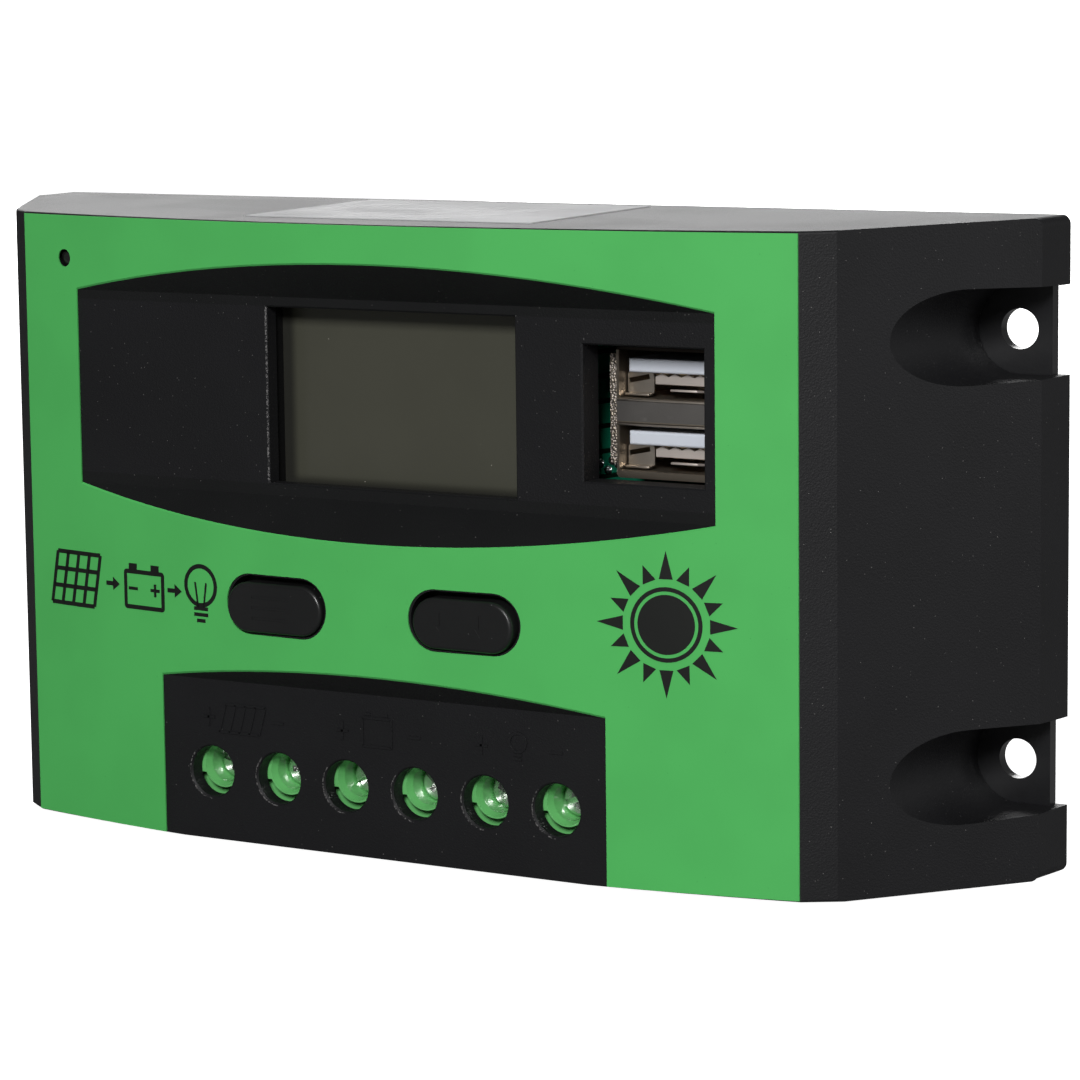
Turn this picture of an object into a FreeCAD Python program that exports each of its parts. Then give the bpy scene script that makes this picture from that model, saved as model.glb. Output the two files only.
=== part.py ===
import FreeCAD, Part
import math
import os

# Solar charge controller for wall mounting, in millimetres.
# +X is to the right seen from the front, +Y points into the wall, +Z is up.
# The origin is the centre of the four wall-mounting holes, in the back plane Y = 0.

V = FreeCAD.Vector

# ---- driving dimensions -------------------------------------------------
BACK_HALF_WIDTH = 74.0        # half the width over the rim, at the back plane
BACK_HALF_HEIGHT = 39.0
CREASE_HALF_WIDTH = 73.4      # where the flared side wall meets the rim
CREASE_Y = -6.5
CREASE_HALF_HEIGHT = 38.95
SHOULDER_HALF_WIDTH = 58.9    # where the flared side wall starts, near the face
SHOULDER_Y = -29.55
FACE_HALF_WIDTH = 55.4        # half the width of the bowed face
FACE_EDGE_Y = -32.1           # the bowed face at its two vertical edges
FACE_APEX_Y = -38.3           # the bowed face at its middle
FACE_HALF_HEIGHT = 38.35
WALL = 2.0
RIM_CORNER_RADIUS = 1.1
EDGE_RADIUS = 0.35
MOUTH_EASE = 0.2              # bevel round the mouths of the windows and the screw holes

OVERLAY_THICKNESS = 0.2
OVERLAY_HALF_HEIGHT = 38.25
LABEL_X = (-22.0, 19.4)
LABEL_Y = (-31.0, -3.4)
LABEL_THICKNESS = 0.12

DISPLAY_BAND_HALF_WIDTH = 45.7
DISPLAY_BAND_Z = (4.8, 29.05)
BAND_SLOPE = 1.07             # rise of the sloped walls per millimetre of depth
TERMINAL_BAND_HALF_WIDTH = 32.1
TERMINAL_BAND_TOP = -18.35
TERMINAL_SLOPE = 1.2

LCD_WINDOW_X = (-16.8, 18.75)
LCD_WINDOW_Z = (6.3, 27.8)
LCD_GLASS_Y = (-30.0, -27.6)
LCD_BORDER = 2.8
BACKLIGHT_DEPTH = 3.0
LCD_LEDGE = 1.6
LCD_FRAME_WALL = 1.4
LCD_LEG_RADIUS = 1.2
LCD_PINS = 14
LCD_FRAME_SETBACK = 0.2
LCD_FRAME_BACK = 1.2
LCD_PIN_SECTION = (0.5, 0.3)
LCD_PIN_OFFSET = 0.8          # from the frame's outside to the row of pins
LIGHT_GUIDE_GAP = 0.3
PIN_STICKS_OUT = 1.0          # behind the board

USB_WINDOW_X = (28.0, 44.1)
USB_WINDOW_Z = (8.9, 24.9)
USB_COLLAR_DEPTH = 3.6
USB_COLLAR_WALL = 1.2
USB_SHELL_X = (29.9, 43.4)
USB_SHELL_Z = (9.05, 24.4)
USB_FRONT_Y = -29.6
USB_PORT_HEIGHT = 5.65
USB_PORT_PITCH = 8.5
USB_SHEET = 0.35
USB_SIDE_PLATE = 0.9
USB_PORT_END_Y = -17.0
USB_TONGUE_DROP = 1.35
USB_TONGUE_THICKNESS = 1.65
USB_TONGUE_SIDE = 1.35
USB_SIDE_PLATE_HALF_HEIGHT = 6.45
USB_SIDE_PLATE_RISE = 0.4
USB_PORTS = 2
USB_PINS = 4
USB_PIN_WIDTH = 1.0
USB_STRIP_THICKNESS = 0.2
USB_STRIP_SETBACK = 1.8
USB_TONGUE_SETBACK = 0.5
USB_TONGUE_EASE = 0.3
USB_CORNER_RADIUS = 0.5

BOARD_Y = (-14.5, -12.9)
BOARD_HALF_WIDTH = 60.0
BOARD_HALF_HEIGHT = 35.8
BOARD_CORNER_RADIUS = 2.0
BOARD_POST_GAP = 0.5
PLATE_THICKNESS = 1.6
PLATE_HALF_WIDTH = 72.5
PLATE_HALF_HEIGHT = 37.5
FIT_GAP = 0.1

MOUNT_HOLE_X = 68.3
MOUNT_HOLE_Z = 25.6
MOUNT_HOLE_RADIUS = 2.4
GROOVE_RADIUS = 5.3
GROOVE_RADIUS_FRONT = 5.9
GROOVE_FRONT_Y = -31.0
GROOVE_WALL = 1.6

BUTTON_X = {"menu": -13.4, "select": 13.7}
BUTTON_Z = -8.2
BUTTON_SIZE = (14.0, 6.2)
BUTTON_CAP_DROP = 0.3         # the cap sits low in its hole
BUTTON_HOLE_SIZE = (14.7, 7.1)
BUTTON_CUTOUT_SIZE = (15.3, 7.5)
BUTTON_FRONT_Y = -38.65
BUTTON_FLANGE_Y = (-34.8, -33.8)
BUTTON_FLANGE_SIZE = (17.0, 9.6)
BUTTON_EDGE_RADIUS = 0.5
MARK_DEPTH = 0.06             # of the marks sunk into the caps
MARK_WIDTH = 0.35
BAR_MARKS = 3
BAR_MARK_LENGTH = 5.2
BAR_MARK_PITCH = 1.3
BAR_MARK_SHIFT = -0.6
ARROW_MARK_OFFSETS = (-2.9, 2.6)
ARROW_MARK_HEIGHT = 2.6
ARROW_HEAD = (0.75, 1.1)      # half width, height
STEM_RADIUS = 2.0
STEM_END_Y = -21.4
SWITCH_SIZE = 6.0
SWITCH_FRONT_Y = -18.0
PLUNGER_RADIUS = 1.7
PLUNGER_CLEARANCE = 0.08
PLUNGER_END_Y = -16.4
PLUNGER_BORE_END_Y = -15.6
SWITCH_COVER_THICKNESS = 0.3
SWITCH_CORNER_RADIUS = 0.4

LED_X = -47.85
LED_Z = 32.9
LED_RADIUS = 1.5
LED_LENGTH = 4.3
LED_DOME_RADIUS = 1.1
LED_LEG_HALF = 0.25

POLES = 6
POLE_PITCH = 10.0
FIRST_POLE_X = -24.8
POLE_Z = -29.9
ACCESS_RADIUS = 3.16
SCREW_Z = POLE_Z + 0.5        # the terminal block sits a little high behind the holes
TERMINAL_FRONT_Y = -34.0
TERMINAL_Z = (-36.0, -23.2)
TERMINAL_END_WALL = 1.6
COLLAR_RADIUS = 2.9
WELL_MOUTH_RADIUS = 2.7
WELL_NECK_RADIUS = 2.34       # where the flared mouth meets the cone that leads down to the screw
WELL_NECK_Y = -33.1
NECK_END_Y = -16.5
LEDGE_Z = -30.6
LEDGE_DROP = 1.4
SCREW_HEAD_FRONT_Y = -31.35
SCREW_HEAD_RADIUS = 2.1
SCREW_REST_TURN = (15.0, 80.0, 140.0, 40.0, 115.0, 160.0)
SCREW_HEAD_HEIGHT = 1.5
SCREW_HEAD_EASE = 0.35
SCREW_SLOT_DEPTH = 0.8
SCREW_SLOT_HALF_WIDTH = 0.35
SCREW_CROSS_DEPTH = 1.0
SCREW_CROSS_HALF_LENGTH = 1.3
SCREW_SHANK_RADIUS = 1.45
SCREW_TIP_Y = -22.9
SCREW_CLEARANCE = 0.07
CLAMP_TRAVEL = 3.3
CAGE_WIDTH = 7.0
CAGE_Y = (-25.6, -15.7)
CAGE_WALL = 1.1
CAGE_Z = (-33.1, -25.7)
CAGE_ROOM = 0.3
CAGE_THREAD_DEPTH = 2.0
CONTACT_BAR_Y = (-22.6, -21.4)
CONTACT_GAP = 0.3
CONTACT_TOP_DROP = 0.8        # below the top of the housing
CONTACT_LEG_HALF_WIDTH = 1.0
CONTACT_LEG_THICKNESS = 1.0
WIRE_ENTRY_EASE = 0.4
WIRE_SLOT_SIDE = 3.4          # from the outer poles to the ends of the wire slot
WIRE_SLOT_Y = (-22.6, -15.8)

POST_X = 54.0
POST_Z = 32.8
POST_RADIUS = 3.0
BOSS_X = 55.0
BOSS_Z = (14.0, -12.0)
BOSS_RADIUS = 2.6
SELF_TAP_RADIUS = 1.35
POST_BORE_END_Y = -15.6
BOSS_BORE_END_Y = -22.5

BOARD_HOLE_RADIUS = 1.6
SCREW_HOLE_RADIUS = 1.7
COUNTERSINK_RADIUS = 3.0
COUNTERSINK_DEPTH = 1.3
CASE_SCREW_TIP_Y = -11.6
CLAMP_SCREW_TIP_Y = -8.5
PAN_HEAD_RADIUS = 2.3
PAN_HEAD_HEIGHT = 1.5
PAN_RECESS_HALF = 1.8
FLAT_RECESS_HALF = 1.5
RECESS_DEPTH = 1.0
RECESS_HALF_WIDTH = 0.35
BOARD_SCREW_BITE = 6.0
PLATE_CORNER_RADIUS = 1.5
OVERLAY_EDGE_GAP = 0.1
LIGHT_CUTOUT_RADIUS = 1.1
LIGHT_SETBACK = 0.5

MOSFET_X = (-33.0, -11.0, 11.0, 33.0)
MOSFET_Z = -8.0
MOSFET_HALF_WIDTH = 5.0
MOSFET_HALF_HEIGHT = 4.6
MOSFET_TAB_THICKNESS = 1.3
MOSFET_TAB_TOP = 10.5         # above the middle of the moulded body
MOSFET_TAB_HOLE_RISE = 8.0
MOSFET_TAB_HOLE_RADIUS = 1.8
MOSFET_LEAD_DEPTH = 2.6
MOSFET_LEAD_THICKNESS = 0.5
MOSFET_LEAD_HALF_WIDTH = 0.4
MOSFET_LEAD_REACH = 9.0
PAD_THICKNESS = 0.3
PAD_HALF_WIDTH = 41.0
PAD_MARGIN = 0.9
CLAMP_SCREW_X = 22.0
CLAMP_BAR_Y = (-8.8, -6.4)
CLAMP_BAR_HALF = (42.0, 3.5)

# X, Z, radius, height
CAPACITORS = ((-43.0, -21.0, 5.0, 15.0), (43.0, -24.0, 5.0, 15.0), (-38.0, 14.0, 4.0, 12.0))
CAN_EASE = 0.6
INDUCTOR_PLACE = (46.0, -9.0)
INDUCTOR_HEIGHT = 7.0
DRUM_RADIUS = 6.0
DRUM_NECK_RADIUS = 3.0
DRUM_FLANGE = 1.2
WINDING_RADIUS = 5.2
CHIP_EASE = 0.2
CONTROLLER_X = 0.2
CONTROLLER_SIZE = 9.0
CONTROLLER_HEIGHT = 1.5
LEGS_PER_SIDE = 9
LEG_PITCH = 0.8
LEG_HALF_WIDTH = 0.18
LEG_LENGTH = 1.1
LEG_THICKNESS = 0.5
# X, Z, size
POWER_CHIPS = ((30.0, 2.0, (5.0, 4.0)), (-34.0, -4.0, (5.0, 4.0)), (-30.0, 22.0, (6.5, 5.5)))
POWER_CHIP_HEIGHT = 1.7
DIODE_PLACES = ((36.0, -4.0), (-44.0, 4.0), (-44.0, -4.0))
DIODE_SIZE = (6.0, 4.0)
DIODE_HEIGHT = 2.3
SHUNT_Z = -27.0
SHUNT_HALF = (8.0, 1.5)
SHUNT_RISE = 3.0
SHUNT_THICKNESS = 0.8
SMALL_PART_ROWS = (-1.5, -14.5, -18.5)
SMALL_PART_SIZE = (2.0, 1.25)
SMALL_PART_HEIGHT = 0.6
SMALL_PARTS_PER_ROW = 8
SMALL_PART_FIRST_X = -26.0
SMALL_PART_PITCH = 7.4
SMALL_PART_STAGGER = 2.0
SENSOR_RISE = 14.0            # above the middle of the transistors
SENSOR_RADIUS = 1.5
SENSOR_HEIGHT = 3.5
PIN_PITCH = 2.54

# ---- values that follow -------------------------------------------------
FACE_SAG = FACE_EDGE_Y - FACE_APEX_Y
BOW_RADIUS = (FACE_HALF_WIDTH ** 2 + FACE_SAG ** 2) / (2 * FACE_SAG)
BOW_CENTRE_Y = FACE_APEX_Y + BOW_RADIUS
PLATE_FRONT_Y = -PLATE_THICKNESS
BOARD_FRONT_Y = BOARD_Y[0]
BOARD_REAR_Y = BOARD_Y[1]
POLE_X = [FIRST_POLE_X + POLE_PITCH * n for n in range(POLES)]
FAR = 90.0                    # beyond every face, for cutting tools


# ---- small helpers ------------------------------------------------------
def box(x_range, y_range, z_range):
    """Block between the two limits along each axis."""
    size = [limits[1] - limits[0] for limits in (x_range, y_range, z_range)]
    return Part.makeBox(*size, V(x_range[0], y_range[0], z_range[0]))


def around(centre, half):
    """Limits a half width to each side of a centre."""
    return (centre - half, centre + half)


def rod(radius, x, z, y_range):
    """Cylinder along Y."""
    return Part.makeCylinder(radius, y_range[1] - y_range[0], V(x, y_range[0], z), V(0, 1, 0))


def cone(radius_front, radius_back, x, z, y_range):
    """Cone along Y."""
    return Part.makeCone(radius_front, radius_back, y_range[1] - y_range[0], V(x, y_range[0], z), V(0, 1, 0))


def joined(shapes):
    """One solid from shapes that overlap."""
    return shapes[0].fuse(shapes[1:]).removeSplitter()


def group(solids):
    """Separate solids kept together in one node."""
    return Part.makeCompound(solids)


def stadium(x, z, size, y_range):
    """Slot-shaped block along Y with round ends."""
    radius = size[1] / 2
    half = size[0] / 2 - radius
    middle = box(around(x, half), y_range, around(z, radius))
    return joined([middle] + [rod(radius, x + side * half, z, y_range) for side in (-1, 1)])


def edges_in(shape, x_range=(-FAR, FAR), y_range=(-FAR, FAR), z_range=(-FAR, FAR)):
    """Edges of a shape that lie wholly between the limits."""
    found = []
    for edge in shape.Edges:
        room = edge.BoundBox
        low = (room.XMin, room.YMin, room.ZMin)
        high = (room.XMax, room.YMax, room.ZMax)
        limits = (x_range, y_range, z_range)
        if all(limit[0] < a and b < limit[1] for limit, a, b in zip(limits, low, high)):
            found.append(edge)
    return found


def bow_y(x):
    """Depth of the shell's bowed face at a place across it."""
    return BOW_CENTRE_Y - math.sqrt(BOW_RADIUS ** 2 - x ** 2)


# ---- case ---------------------------------------------------------------
def case_outline():
    """Plan view of the case as a face: bowed front, shoulders, flared sides, rim."""
    right = [
        V(FACE_HALF_WIDTH, FACE_EDGE_Y, 0),
        V(SHOULDER_HALF_WIDTH, SHOULDER_Y, 0),
        V(CREASE_HALF_WIDTH, CREASE_Y, 0),
        V(BACK_HALF_WIDTH, 0, 0),
    ]
    left = [V(-point.x, point.y, 0) for point in reversed(right)]
    bow = Part.Arc(left[-1], V(0, FACE_APEX_Y, 0), right[0]).toShape()
    sides = [Part.makeLine(a, b) for a, b in zip(right, right[1:])]
    back = Part.makeLine(right[-1], left[0])
    other = [Part.makeLine(a, b) for a, b in zip(left, left[1:])]
    return Part.Face(Part.Wire([bow] + sides + [back] + other))


def height_profile(inset):
    """Slice with the slight draft of the top and bottom walls, wider than the case."""
    upper = [
        (1.0, BACK_HALF_HEIGHT),
        (0.0, BACK_HALF_HEIGHT),
        (CREASE_Y, CREASE_HALF_HEIGHT),
        (FACE_APEX_Y, FACE_HALF_HEIGHT),
        (FACE_APEX_Y - 1.0, FACE_HALF_HEIGHT),
    ]
    points = [V(-FAR, y, z - inset) for y, z in upper]
    points += [V(-FAR, y, inset - z) for y, z in reversed(upper)]
    face = Part.Face(Part.makePolygon(points + points[:1]))
    return face.extrude(V(2 * FAR, 0, 0))


def case_block():
    """The case's outer shape as one block, with its rim corners round and its face edges eased."""
    outline = case_outline()
    outline.translate(V(0, 0, -FAR))
    block = outline.extrude(V(0, 0, 2 * FAR)).common(height_profile(0))
    corners = []
    for side in (-1, 1):
        reach = sorted((side * (CREASE_HALF_WIDTH - 0.1), side * FAR))
        for edge in edges_in(block, x_range=reach, y_range=(CREASE_Y - 0.1, 0.1)):
            if edge.BoundBox.YLength > 1:
                corners.append(edge)
    block = block.makeFillet(RIM_CORNER_RADIUS, corners)
    return block.makeFillet(EDGE_RADIUS, edges_in(block, y_range=(-FAR, SHOULDER_Y + 0.1)))


def cavity_block():
    """The space inside the case, open at the back, with a pocket for the back plate."""
    outline = case_outline()
    inner = outline.makeOffset2D(-WALL)
    inner.translate(V(0, 0, -FAR))
    space = inner.extrude(V(0, 0, 2 * FAR)).common(height_profile(WALL))
    plate_pocket = box(
        around(0, PLATE_HALF_WIDTH + FIT_GAP),
        (PLATE_FRONT_Y - WALL - 0.05, 1),
        around(0, PLATE_HALF_HEIGHT + FIT_GAP),
    )
    return space.fuse(plate_pocket)


def band_tool(half_width, band_y, z_low, z_high, slope_low, slope_high, grow=0.0):
    """Cutting tool for a flat band sunk into the bow, with sloped walls above and below."""
    depth = band_y - (FACE_APEX_Y - 1)
    y_back = band_y + grow
    z_low -= grow
    z_high += grow
    points = [
        V(0, y_back, z_low),
        V(0, y_back, z_high),
        V(0, band_y - depth, z_high + slope_high * (depth + grow)),
        V(0, band_y - depth, z_low - slope_low * (depth + grow)),
    ]
    face = Part.Face(Part.makePolygon(points + points[:1]))
    face.translate(V(-half_width - grow, 0, 0))
    return face.extrude(V(2 * (half_width + grow), 0, 0))


def display_band(grow=0.0):
    """The sunk band around the display and the USB sockets."""
    low, high = DISPLAY_BAND_Z
    band_y = bow_y(DISPLAY_BAND_HALF_WIDTH)
    return band_tool(DISPLAY_BAND_HALF_WIDTH, band_y, low, high, BAND_SLOPE, BAND_SLOPE, grow)


def terminal_band(grow=0.0):
    """The sunk band over the terminal screws, open at the bottom edge."""
    band_y = bow_y(TERMINAL_BAND_HALF_WIDTH)
    low = -BACK_HALF_HEIGHT - 1
    return band_tool(TERMINAL_BAND_HALF_WIDTH, band_y, low, TERMINAL_BAND_TOP, 0, TERMINAL_SLOPE, grow)


def groove(x_side, z_side, grow=0.0):
    """Screwdriver groove in front of a mounting hole, open towards the rim and widening forwards."""
    wires = []
    sections = ((1.0, GROOVE_RADIUS), (PLATE_FRONT_Y, GROOVE_RADIUS), (GROOVE_FRONT_Y, GROOVE_RADIUS_FRONT))
    for y, radius in sections:
        r = radius + grow
        top = V(FAR, y, r)
        bend_top = V(0, y, r)
        tip = V(-r, y, 0)
        bend_bottom = V(0, y, -r)
        bottom = V(FAR, y, -r)
        lines = [
            Part.makeLine(top, bend_top),
            Part.Arc(bend_top, tip, bend_bottom).toShape(),
            Part.makeLine(bend_bottom, bottom),
            Part.makeLine(bottom, top),
        ]
        wires.append(Part.Wire(lines))
    tool = Part.makeLoft(wires, True, True)
    tool.translate(V(MOUNT_HOLE_X, 0, 0))
    if x_side < 0:
        tool = tool.mirror(V(0, 0, 0), V(1, 0, 0))
    tool.translate(V(0, 0, z_side * MOUNT_HOLE_Z))
    return tool


def corners_of_four():
    """The four sign pairs of a pattern about the middle."""
    return [(x_side, z_side) for x_side in (-1, 1) for z_side in (-1, 1)]


def face_holes(button_size, light_radius):
    """Tools for the holes through the bowed face: two buttons and the charging light."""
    depth = (-FAR, FACE_EDGE_Y + WALL)
    holes = [stadium(x, BUTTON_Z, button_size, depth) for x in BUTTON_X.values()]
    holes.append(rod(light_radius, LED_X, LED_Z, depth))
    return holes


def eased_mouth(x_range, z_range, y):
    """Tool that bevels the mouth of a rectangular window in a flat face at depth y."""
    wires = []
    for depth, grow in ((-1.0, 1.0 + MOUTH_EASE), (MOUTH_EASE, 0.0)):
        x_low, x_high = x_range[0] - grow, x_range[1] + grow
        z_low, z_high = z_range[0] - grow, z_range[1] + grow
        corners = [V(x_low, 0, z_low), V(x_high, 0, z_low), V(x_high, 0, z_high), V(x_low, 0, z_high)]
        wire = Part.makePolygon(corners + corners[:1])
        wire.translate(V(0, y + depth, 0))
        wires.append(wire)
    return Part.makeLoft(wires, True, True)


def make_front_shell():
    """Moulded case: bowed face, two sunk bands, mounting grooves, posts, bosses and openings."""
    outer = case_block()
    inside = cavity_block()
    added = [display_band(WALL), terminal_band(WALL)]
    usb_x = (USB_WINDOW_X[0] - USB_COLLAR_WALL, USB_WINDOW_X[1] + USB_COLLAR_WALL)
    usb_z = (USB_WINDOW_Z[0] - USB_COLLAR_WALL, USB_WINDOW_Z[1] + USB_COLLAR_WALL)
    band_y = bow_y(DISPLAY_BAND_HALF_WIDTH)
    added.append(box(usb_x, (band_y, band_y + USB_COLLAR_DEPTH), usb_z))
    for x_side, z_side in corners_of_four():
        added.append(rod(POST_RADIUS, x_side * POST_X, z_side * POST_Z, (-FAR, PLATE_FRONT_Y - FIT_GAP)))
    for x_side in (-1, 1):
        for z in BOSS_Z:
            added.append(rod(BOSS_RADIUS, x_side * BOSS_X, z, (-FAR, BOARD_FRONT_Y)))
    sleeve_space = box(around(0, FAR), (-FAR, PLATE_FRONT_Y - FIT_GAP), around(0, FAR))
    for x_side, z_side in corners_of_four():
        added.append(groove(x_side, z_side, GROOVE_WALL).common(sleeve_space))
    plastic = outer.cut(inside)
    for piece in added:
        plastic = plastic.fuse(piece.common(outer))
    removed = [display_band(), terminal_band()] + face_holes(BUTTON_HOLE_SIZE, LED_RADIUS + FIT_GAP)
    removed.append(box(LCD_WINDOW_X, (-FAR, band_y + WALL + 1), LCD_WINDOW_Z))
    removed.append(box(USB_WINDOW_X, (-FAR, band_y + USB_COLLAR_DEPTH + 1), USB_WINDOW_Z))
    removed.append(eased_mouth(LCD_WINDOW_X, LCD_WINDOW_Z, band_y))
    removed.append(eased_mouth(USB_WINDOW_X, USB_WINDOW_Z, band_y))
    screw_band_y = bow_y(TERMINAL_BAND_HALF_WIDTH)
    for x in POLE_X:
        removed.append(rod(ACCESS_RADIUS, x, POLE_Z, (-FAR, TERMINAL_FRONT_Y)))
        mouth_y = (screw_band_y - MOUTH_EASE, screw_band_y + MOUTH_EASE)
        removed.append(cone(ACCESS_RADIUS + 2 * MOUTH_EASE, ACCESS_RADIUS, x, POLE_Z, mouth_y))
    slot_x = (POLE_X[0] - WIRE_SLOT_SIDE, POLE_X[-1] + WIRE_SLOT_SIDE)
    removed.append(box(slot_x, WIRE_SLOT_Y, (-FAR, TERMINAL_Z[0])))
    for x_side, z_side in corners_of_four():
        removed.append(groove(x_side, z_side))
        removed.append(rod(SELF_TAP_RADIUS, x_side * POST_X, z_side * POST_Z, (POST_BORE_END_Y, 0)))
    for x_side in (-1, 1):
        for z in BOSS_Z:
            removed.append(rod(SELF_TAP_RADIUS, x_side * BOSS_X, z, (BOSS_BORE_END_Y, BOARD_FRONT_Y + 1)))
    for piece in removed:
        plastic = plastic.cut(piece)
    return plastic


def plate_blank():
    """Back plate before its holes, with round corners."""
    plate = box(around(0, PLATE_HALF_WIDTH), (PLATE_FRONT_Y, 0), around(0, PLATE_HALF_HEIGHT))
    upright = [edge for edge in plate.Edges if edge.BoundBox.YLength > PLATE_THICKNESS / 2]
    return plate.makeFillet(PLATE_CORNER_RADIUS, upright)


def countersunk_hole(x, z):
    """Tool for a countersunk screw hole that opens at the back plane."""
    through = rod(SCREW_HOLE_RADIUS, x, z, (PLATE_FRONT_Y - 1, 1))
    sink = cone(SCREW_HOLE_RADIUS, COUNTERSINK_RADIUS, x, z, (-COUNTERSINK_DEPTH, 0.0))
    return through.fuse(sink)


def make_back_plate():
    """Flat metal back that carries the case on the wall and the power transistors inside."""
    plate = plate_blank()
    for x_side, z_side in corners_of_four():
        hole = rod(MOUNT_HOLE_RADIUS, x_side * MOUNT_HOLE_X, z_side * MOUNT_HOLE_Z, (-FAR, FAR))
        plate = plate.cut(hole).cut(countersunk_hole(x_side * POST_X, z_side * POST_Z))
    for x_side in (-1, 1):
        plate = plate.cut(countersunk_hole(x_side * CLAMP_SCREW_X, MOSFET_Z))
    return plate


def make_face_overlay():
    """Printed vinyl sheet that follows the bowed face, cut out round the bands, buttons and light."""
    front = Part.makeCylinder(BOW_RADIUS + OVERLAY_THICKNESS, 2 * OVERLAY_HALF_HEIGHT,
                              V(0, BOW_CENTRE_Y, -OVERLAY_HALF_HEIGHT), V(0, 0, 1))
    behind = Part.makeCylinder(BOW_RADIUS, 2 * FAR, V(0, BOW_CENTRE_Y, -FAR), V(0, 0, 1))
    sheet_x = around(0, FACE_HALF_WIDTH - OVERLAY_EDGE_GAP)
    strip = box(sheet_x, (FACE_APEX_Y - 1, FACE_EDGE_Y + 1), around(0, FAR))
    sheet = front.common(strip).cut(behind)
    for tool in [display_band(), terminal_band()] + face_holes(BUTTON_CUTOUT_SIZE, LIGHT_CUTOUT_RADIUS):
        sheet = sheet.cut(tool)
    return sheet


def make_top_label():
    """Thin label stuck on the top wall, following its slight slope."""
    slab = box(LABEL_X, LABEL_Y, (0, FAR))
    return slab.common(height_profile(-LABEL_THICKNESS)).cut(height_profile(0))


def menu_marks(x):
    """Tools for three level bars sunk into a cap."""
    mark_y = (-FAR, BUTTON_FRONT_Y + MARK_DEPTH)
    cap_z = BUTTON_Z - BUTTON_CAP_DROP
    level = [cap_z + (n - (BAR_MARKS - 1) / 2) * BAR_MARK_PITCH for n in range(BAR_MARKS)]
    across = around(x + BAR_MARK_SHIFT, BAR_MARK_LENGTH / 2)
    return [box(across, mark_y, around(z, MARK_WIDTH / 2)) for z in level]


def select_marks(x):
    """Tools for two arrows that point down, sunk into a cap."""
    mark_y = (-FAR, BUTTON_FRONT_Y + MARK_DEPTH)
    half_width, head_height = ARROW_HEAD
    tip_z = BUTTON_Z - BUTTON_CAP_DROP - ARROW_MARK_HEIGHT / 2
    tools = []
    for offset in ARROW_MARK_OFFSETS:
        centre = x + offset
        shaft_z = (tip_z + head_height - 0.1, tip_z + ARROW_MARK_HEIGHT)
        shaft = box(around(centre, MARK_WIDTH / 2), mark_y, shaft_z)
        points = [
            V(centre, mark_y[0], tip_z),
            V(centre + half_width, mark_y[0], tip_z + head_height),
            V(centre - half_width, mark_y[0], tip_z + head_height),
        ]
        head = Part.Face(Part.makePolygon(points + points[:1])).extrude(V(0, mark_y[1] - mark_y[0], 0))
        tools.append(joined([shaft, head]))
    return tools


def make_button(x, marks):
    """Marked button cap with a retaining flange inside the case and a stem down to its switch."""
    cap = stadium(x, BUTTON_Z - BUTTON_CAP_DROP, BUTTON_SIZE, (BUTTON_FRONT_Y, BUTTON_FLANGE_Y[1]))
    front_edges = edges_in(cap, y_range=(BUTTON_FRONT_Y - 0.1, BUTTON_FRONT_Y + 0.1))
    cap = cap.makeFillet(BUTTON_EDGE_RADIUS, front_edges)
    for mark in marks:
        cap = cap.cut(mark)
    flange = stadium(x, BUTTON_Z, BUTTON_FLANGE_SIZE, BUTTON_FLANGE_Y)
    stem = rod(STEM_RADIUS, x, BUTTON_Z, (BUTTON_FLANGE_Y[0], STEM_END_Y))
    return joined([cap, flange, stem])


def make_switch_plunger(x):
    """Actuator of a push switch, which the button's stem rests on."""
    return rod(PLUNGER_RADIUS, x, BUTTON_Z, (STEM_END_Y, PLUNGER_END_Y))


def make_switch_bodies():
    """Square bases of the two push switches, soldered flat to the board."""
    bases = []
    for x in BUTTON_X.values():
        half = SWITCH_SIZE / 2
        base = box(around(x, half), (SWITCH_FRONT_Y, BOARD_FRONT_Y), around(BUTTON_Z, half))
        upright = [edge for edge in base.Edges if edge.BoundBox.YLength > 1]
        base = base.makeFillet(SWITCH_CORNER_RADIUS, upright)
        bore = rod(PLUNGER_RADIUS + PLUNGER_CLEARANCE, x, BUTTON_Z, (SWITCH_FRONT_Y - 1, PLUNGER_BORE_END_Y))
        bases.append(base.cut(bore))
    return group(bases)


def make_switch_covers():
    """Sheet metal covers clipped over the switch bases."""
    covers = []
    for x in BUTTON_X.values():
        half = SWITCH_SIZE / 2
        cover_y = (SWITCH_FRONT_Y - SWITCH_COVER_THICKNESS, SWITCH_FRONT_Y)
        sheet = box(around(x, half), cover_y, around(BUTTON_Z, half))
        hole = rod(PLUNGER_RADIUS + 2 * PLUNGER_CLEARANCE, x, BUTTON_Z, (-FAR, 0))
        covers.append(sheet.cut(hole))
    return group(covers)


def lcd_limits(grow):
    """Limits of the display's glass in X and Z, grown on every side."""
    reach = LCD_BORDER + grow
    x_range = (LCD_WINDOW_X[0] - reach, LCD_WINDOW_X[1] + reach)
    z_range = (LCD_WINDOW_Z[0] - reach, LCD_WINDOW_Z[1] + reach)
    return x_range, z_range


def make_lcd_glass():
    """Liquid crystal cell: a glass sandwich whose rear sheet has a ledge for its contacts."""
    x_range, z_range = lcd_limits(0)
    middle_y = (LCD_GLASS_Y[0] + LCD_GLASS_Y[1]) / 2
    front = box(x_range, (LCD_GLASS_Y[0], middle_y), (z_range[0], z_range[1] - LCD_LEDGE))
    rear = box(x_range, (middle_y, LCD_GLASS_Y[1]), z_range)
    return joined([front, rear])


def make_lcd_backlight():
    """Light guide behind the display's glass."""
    x_range, z_range = lcd_limits(-LIGHT_GUIDE_GAP)
    return box(x_range, (LCD_GLASS_Y[1], LCD_GLASS_Y[1] + BACKLIGHT_DEPTH), z_range)


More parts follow.
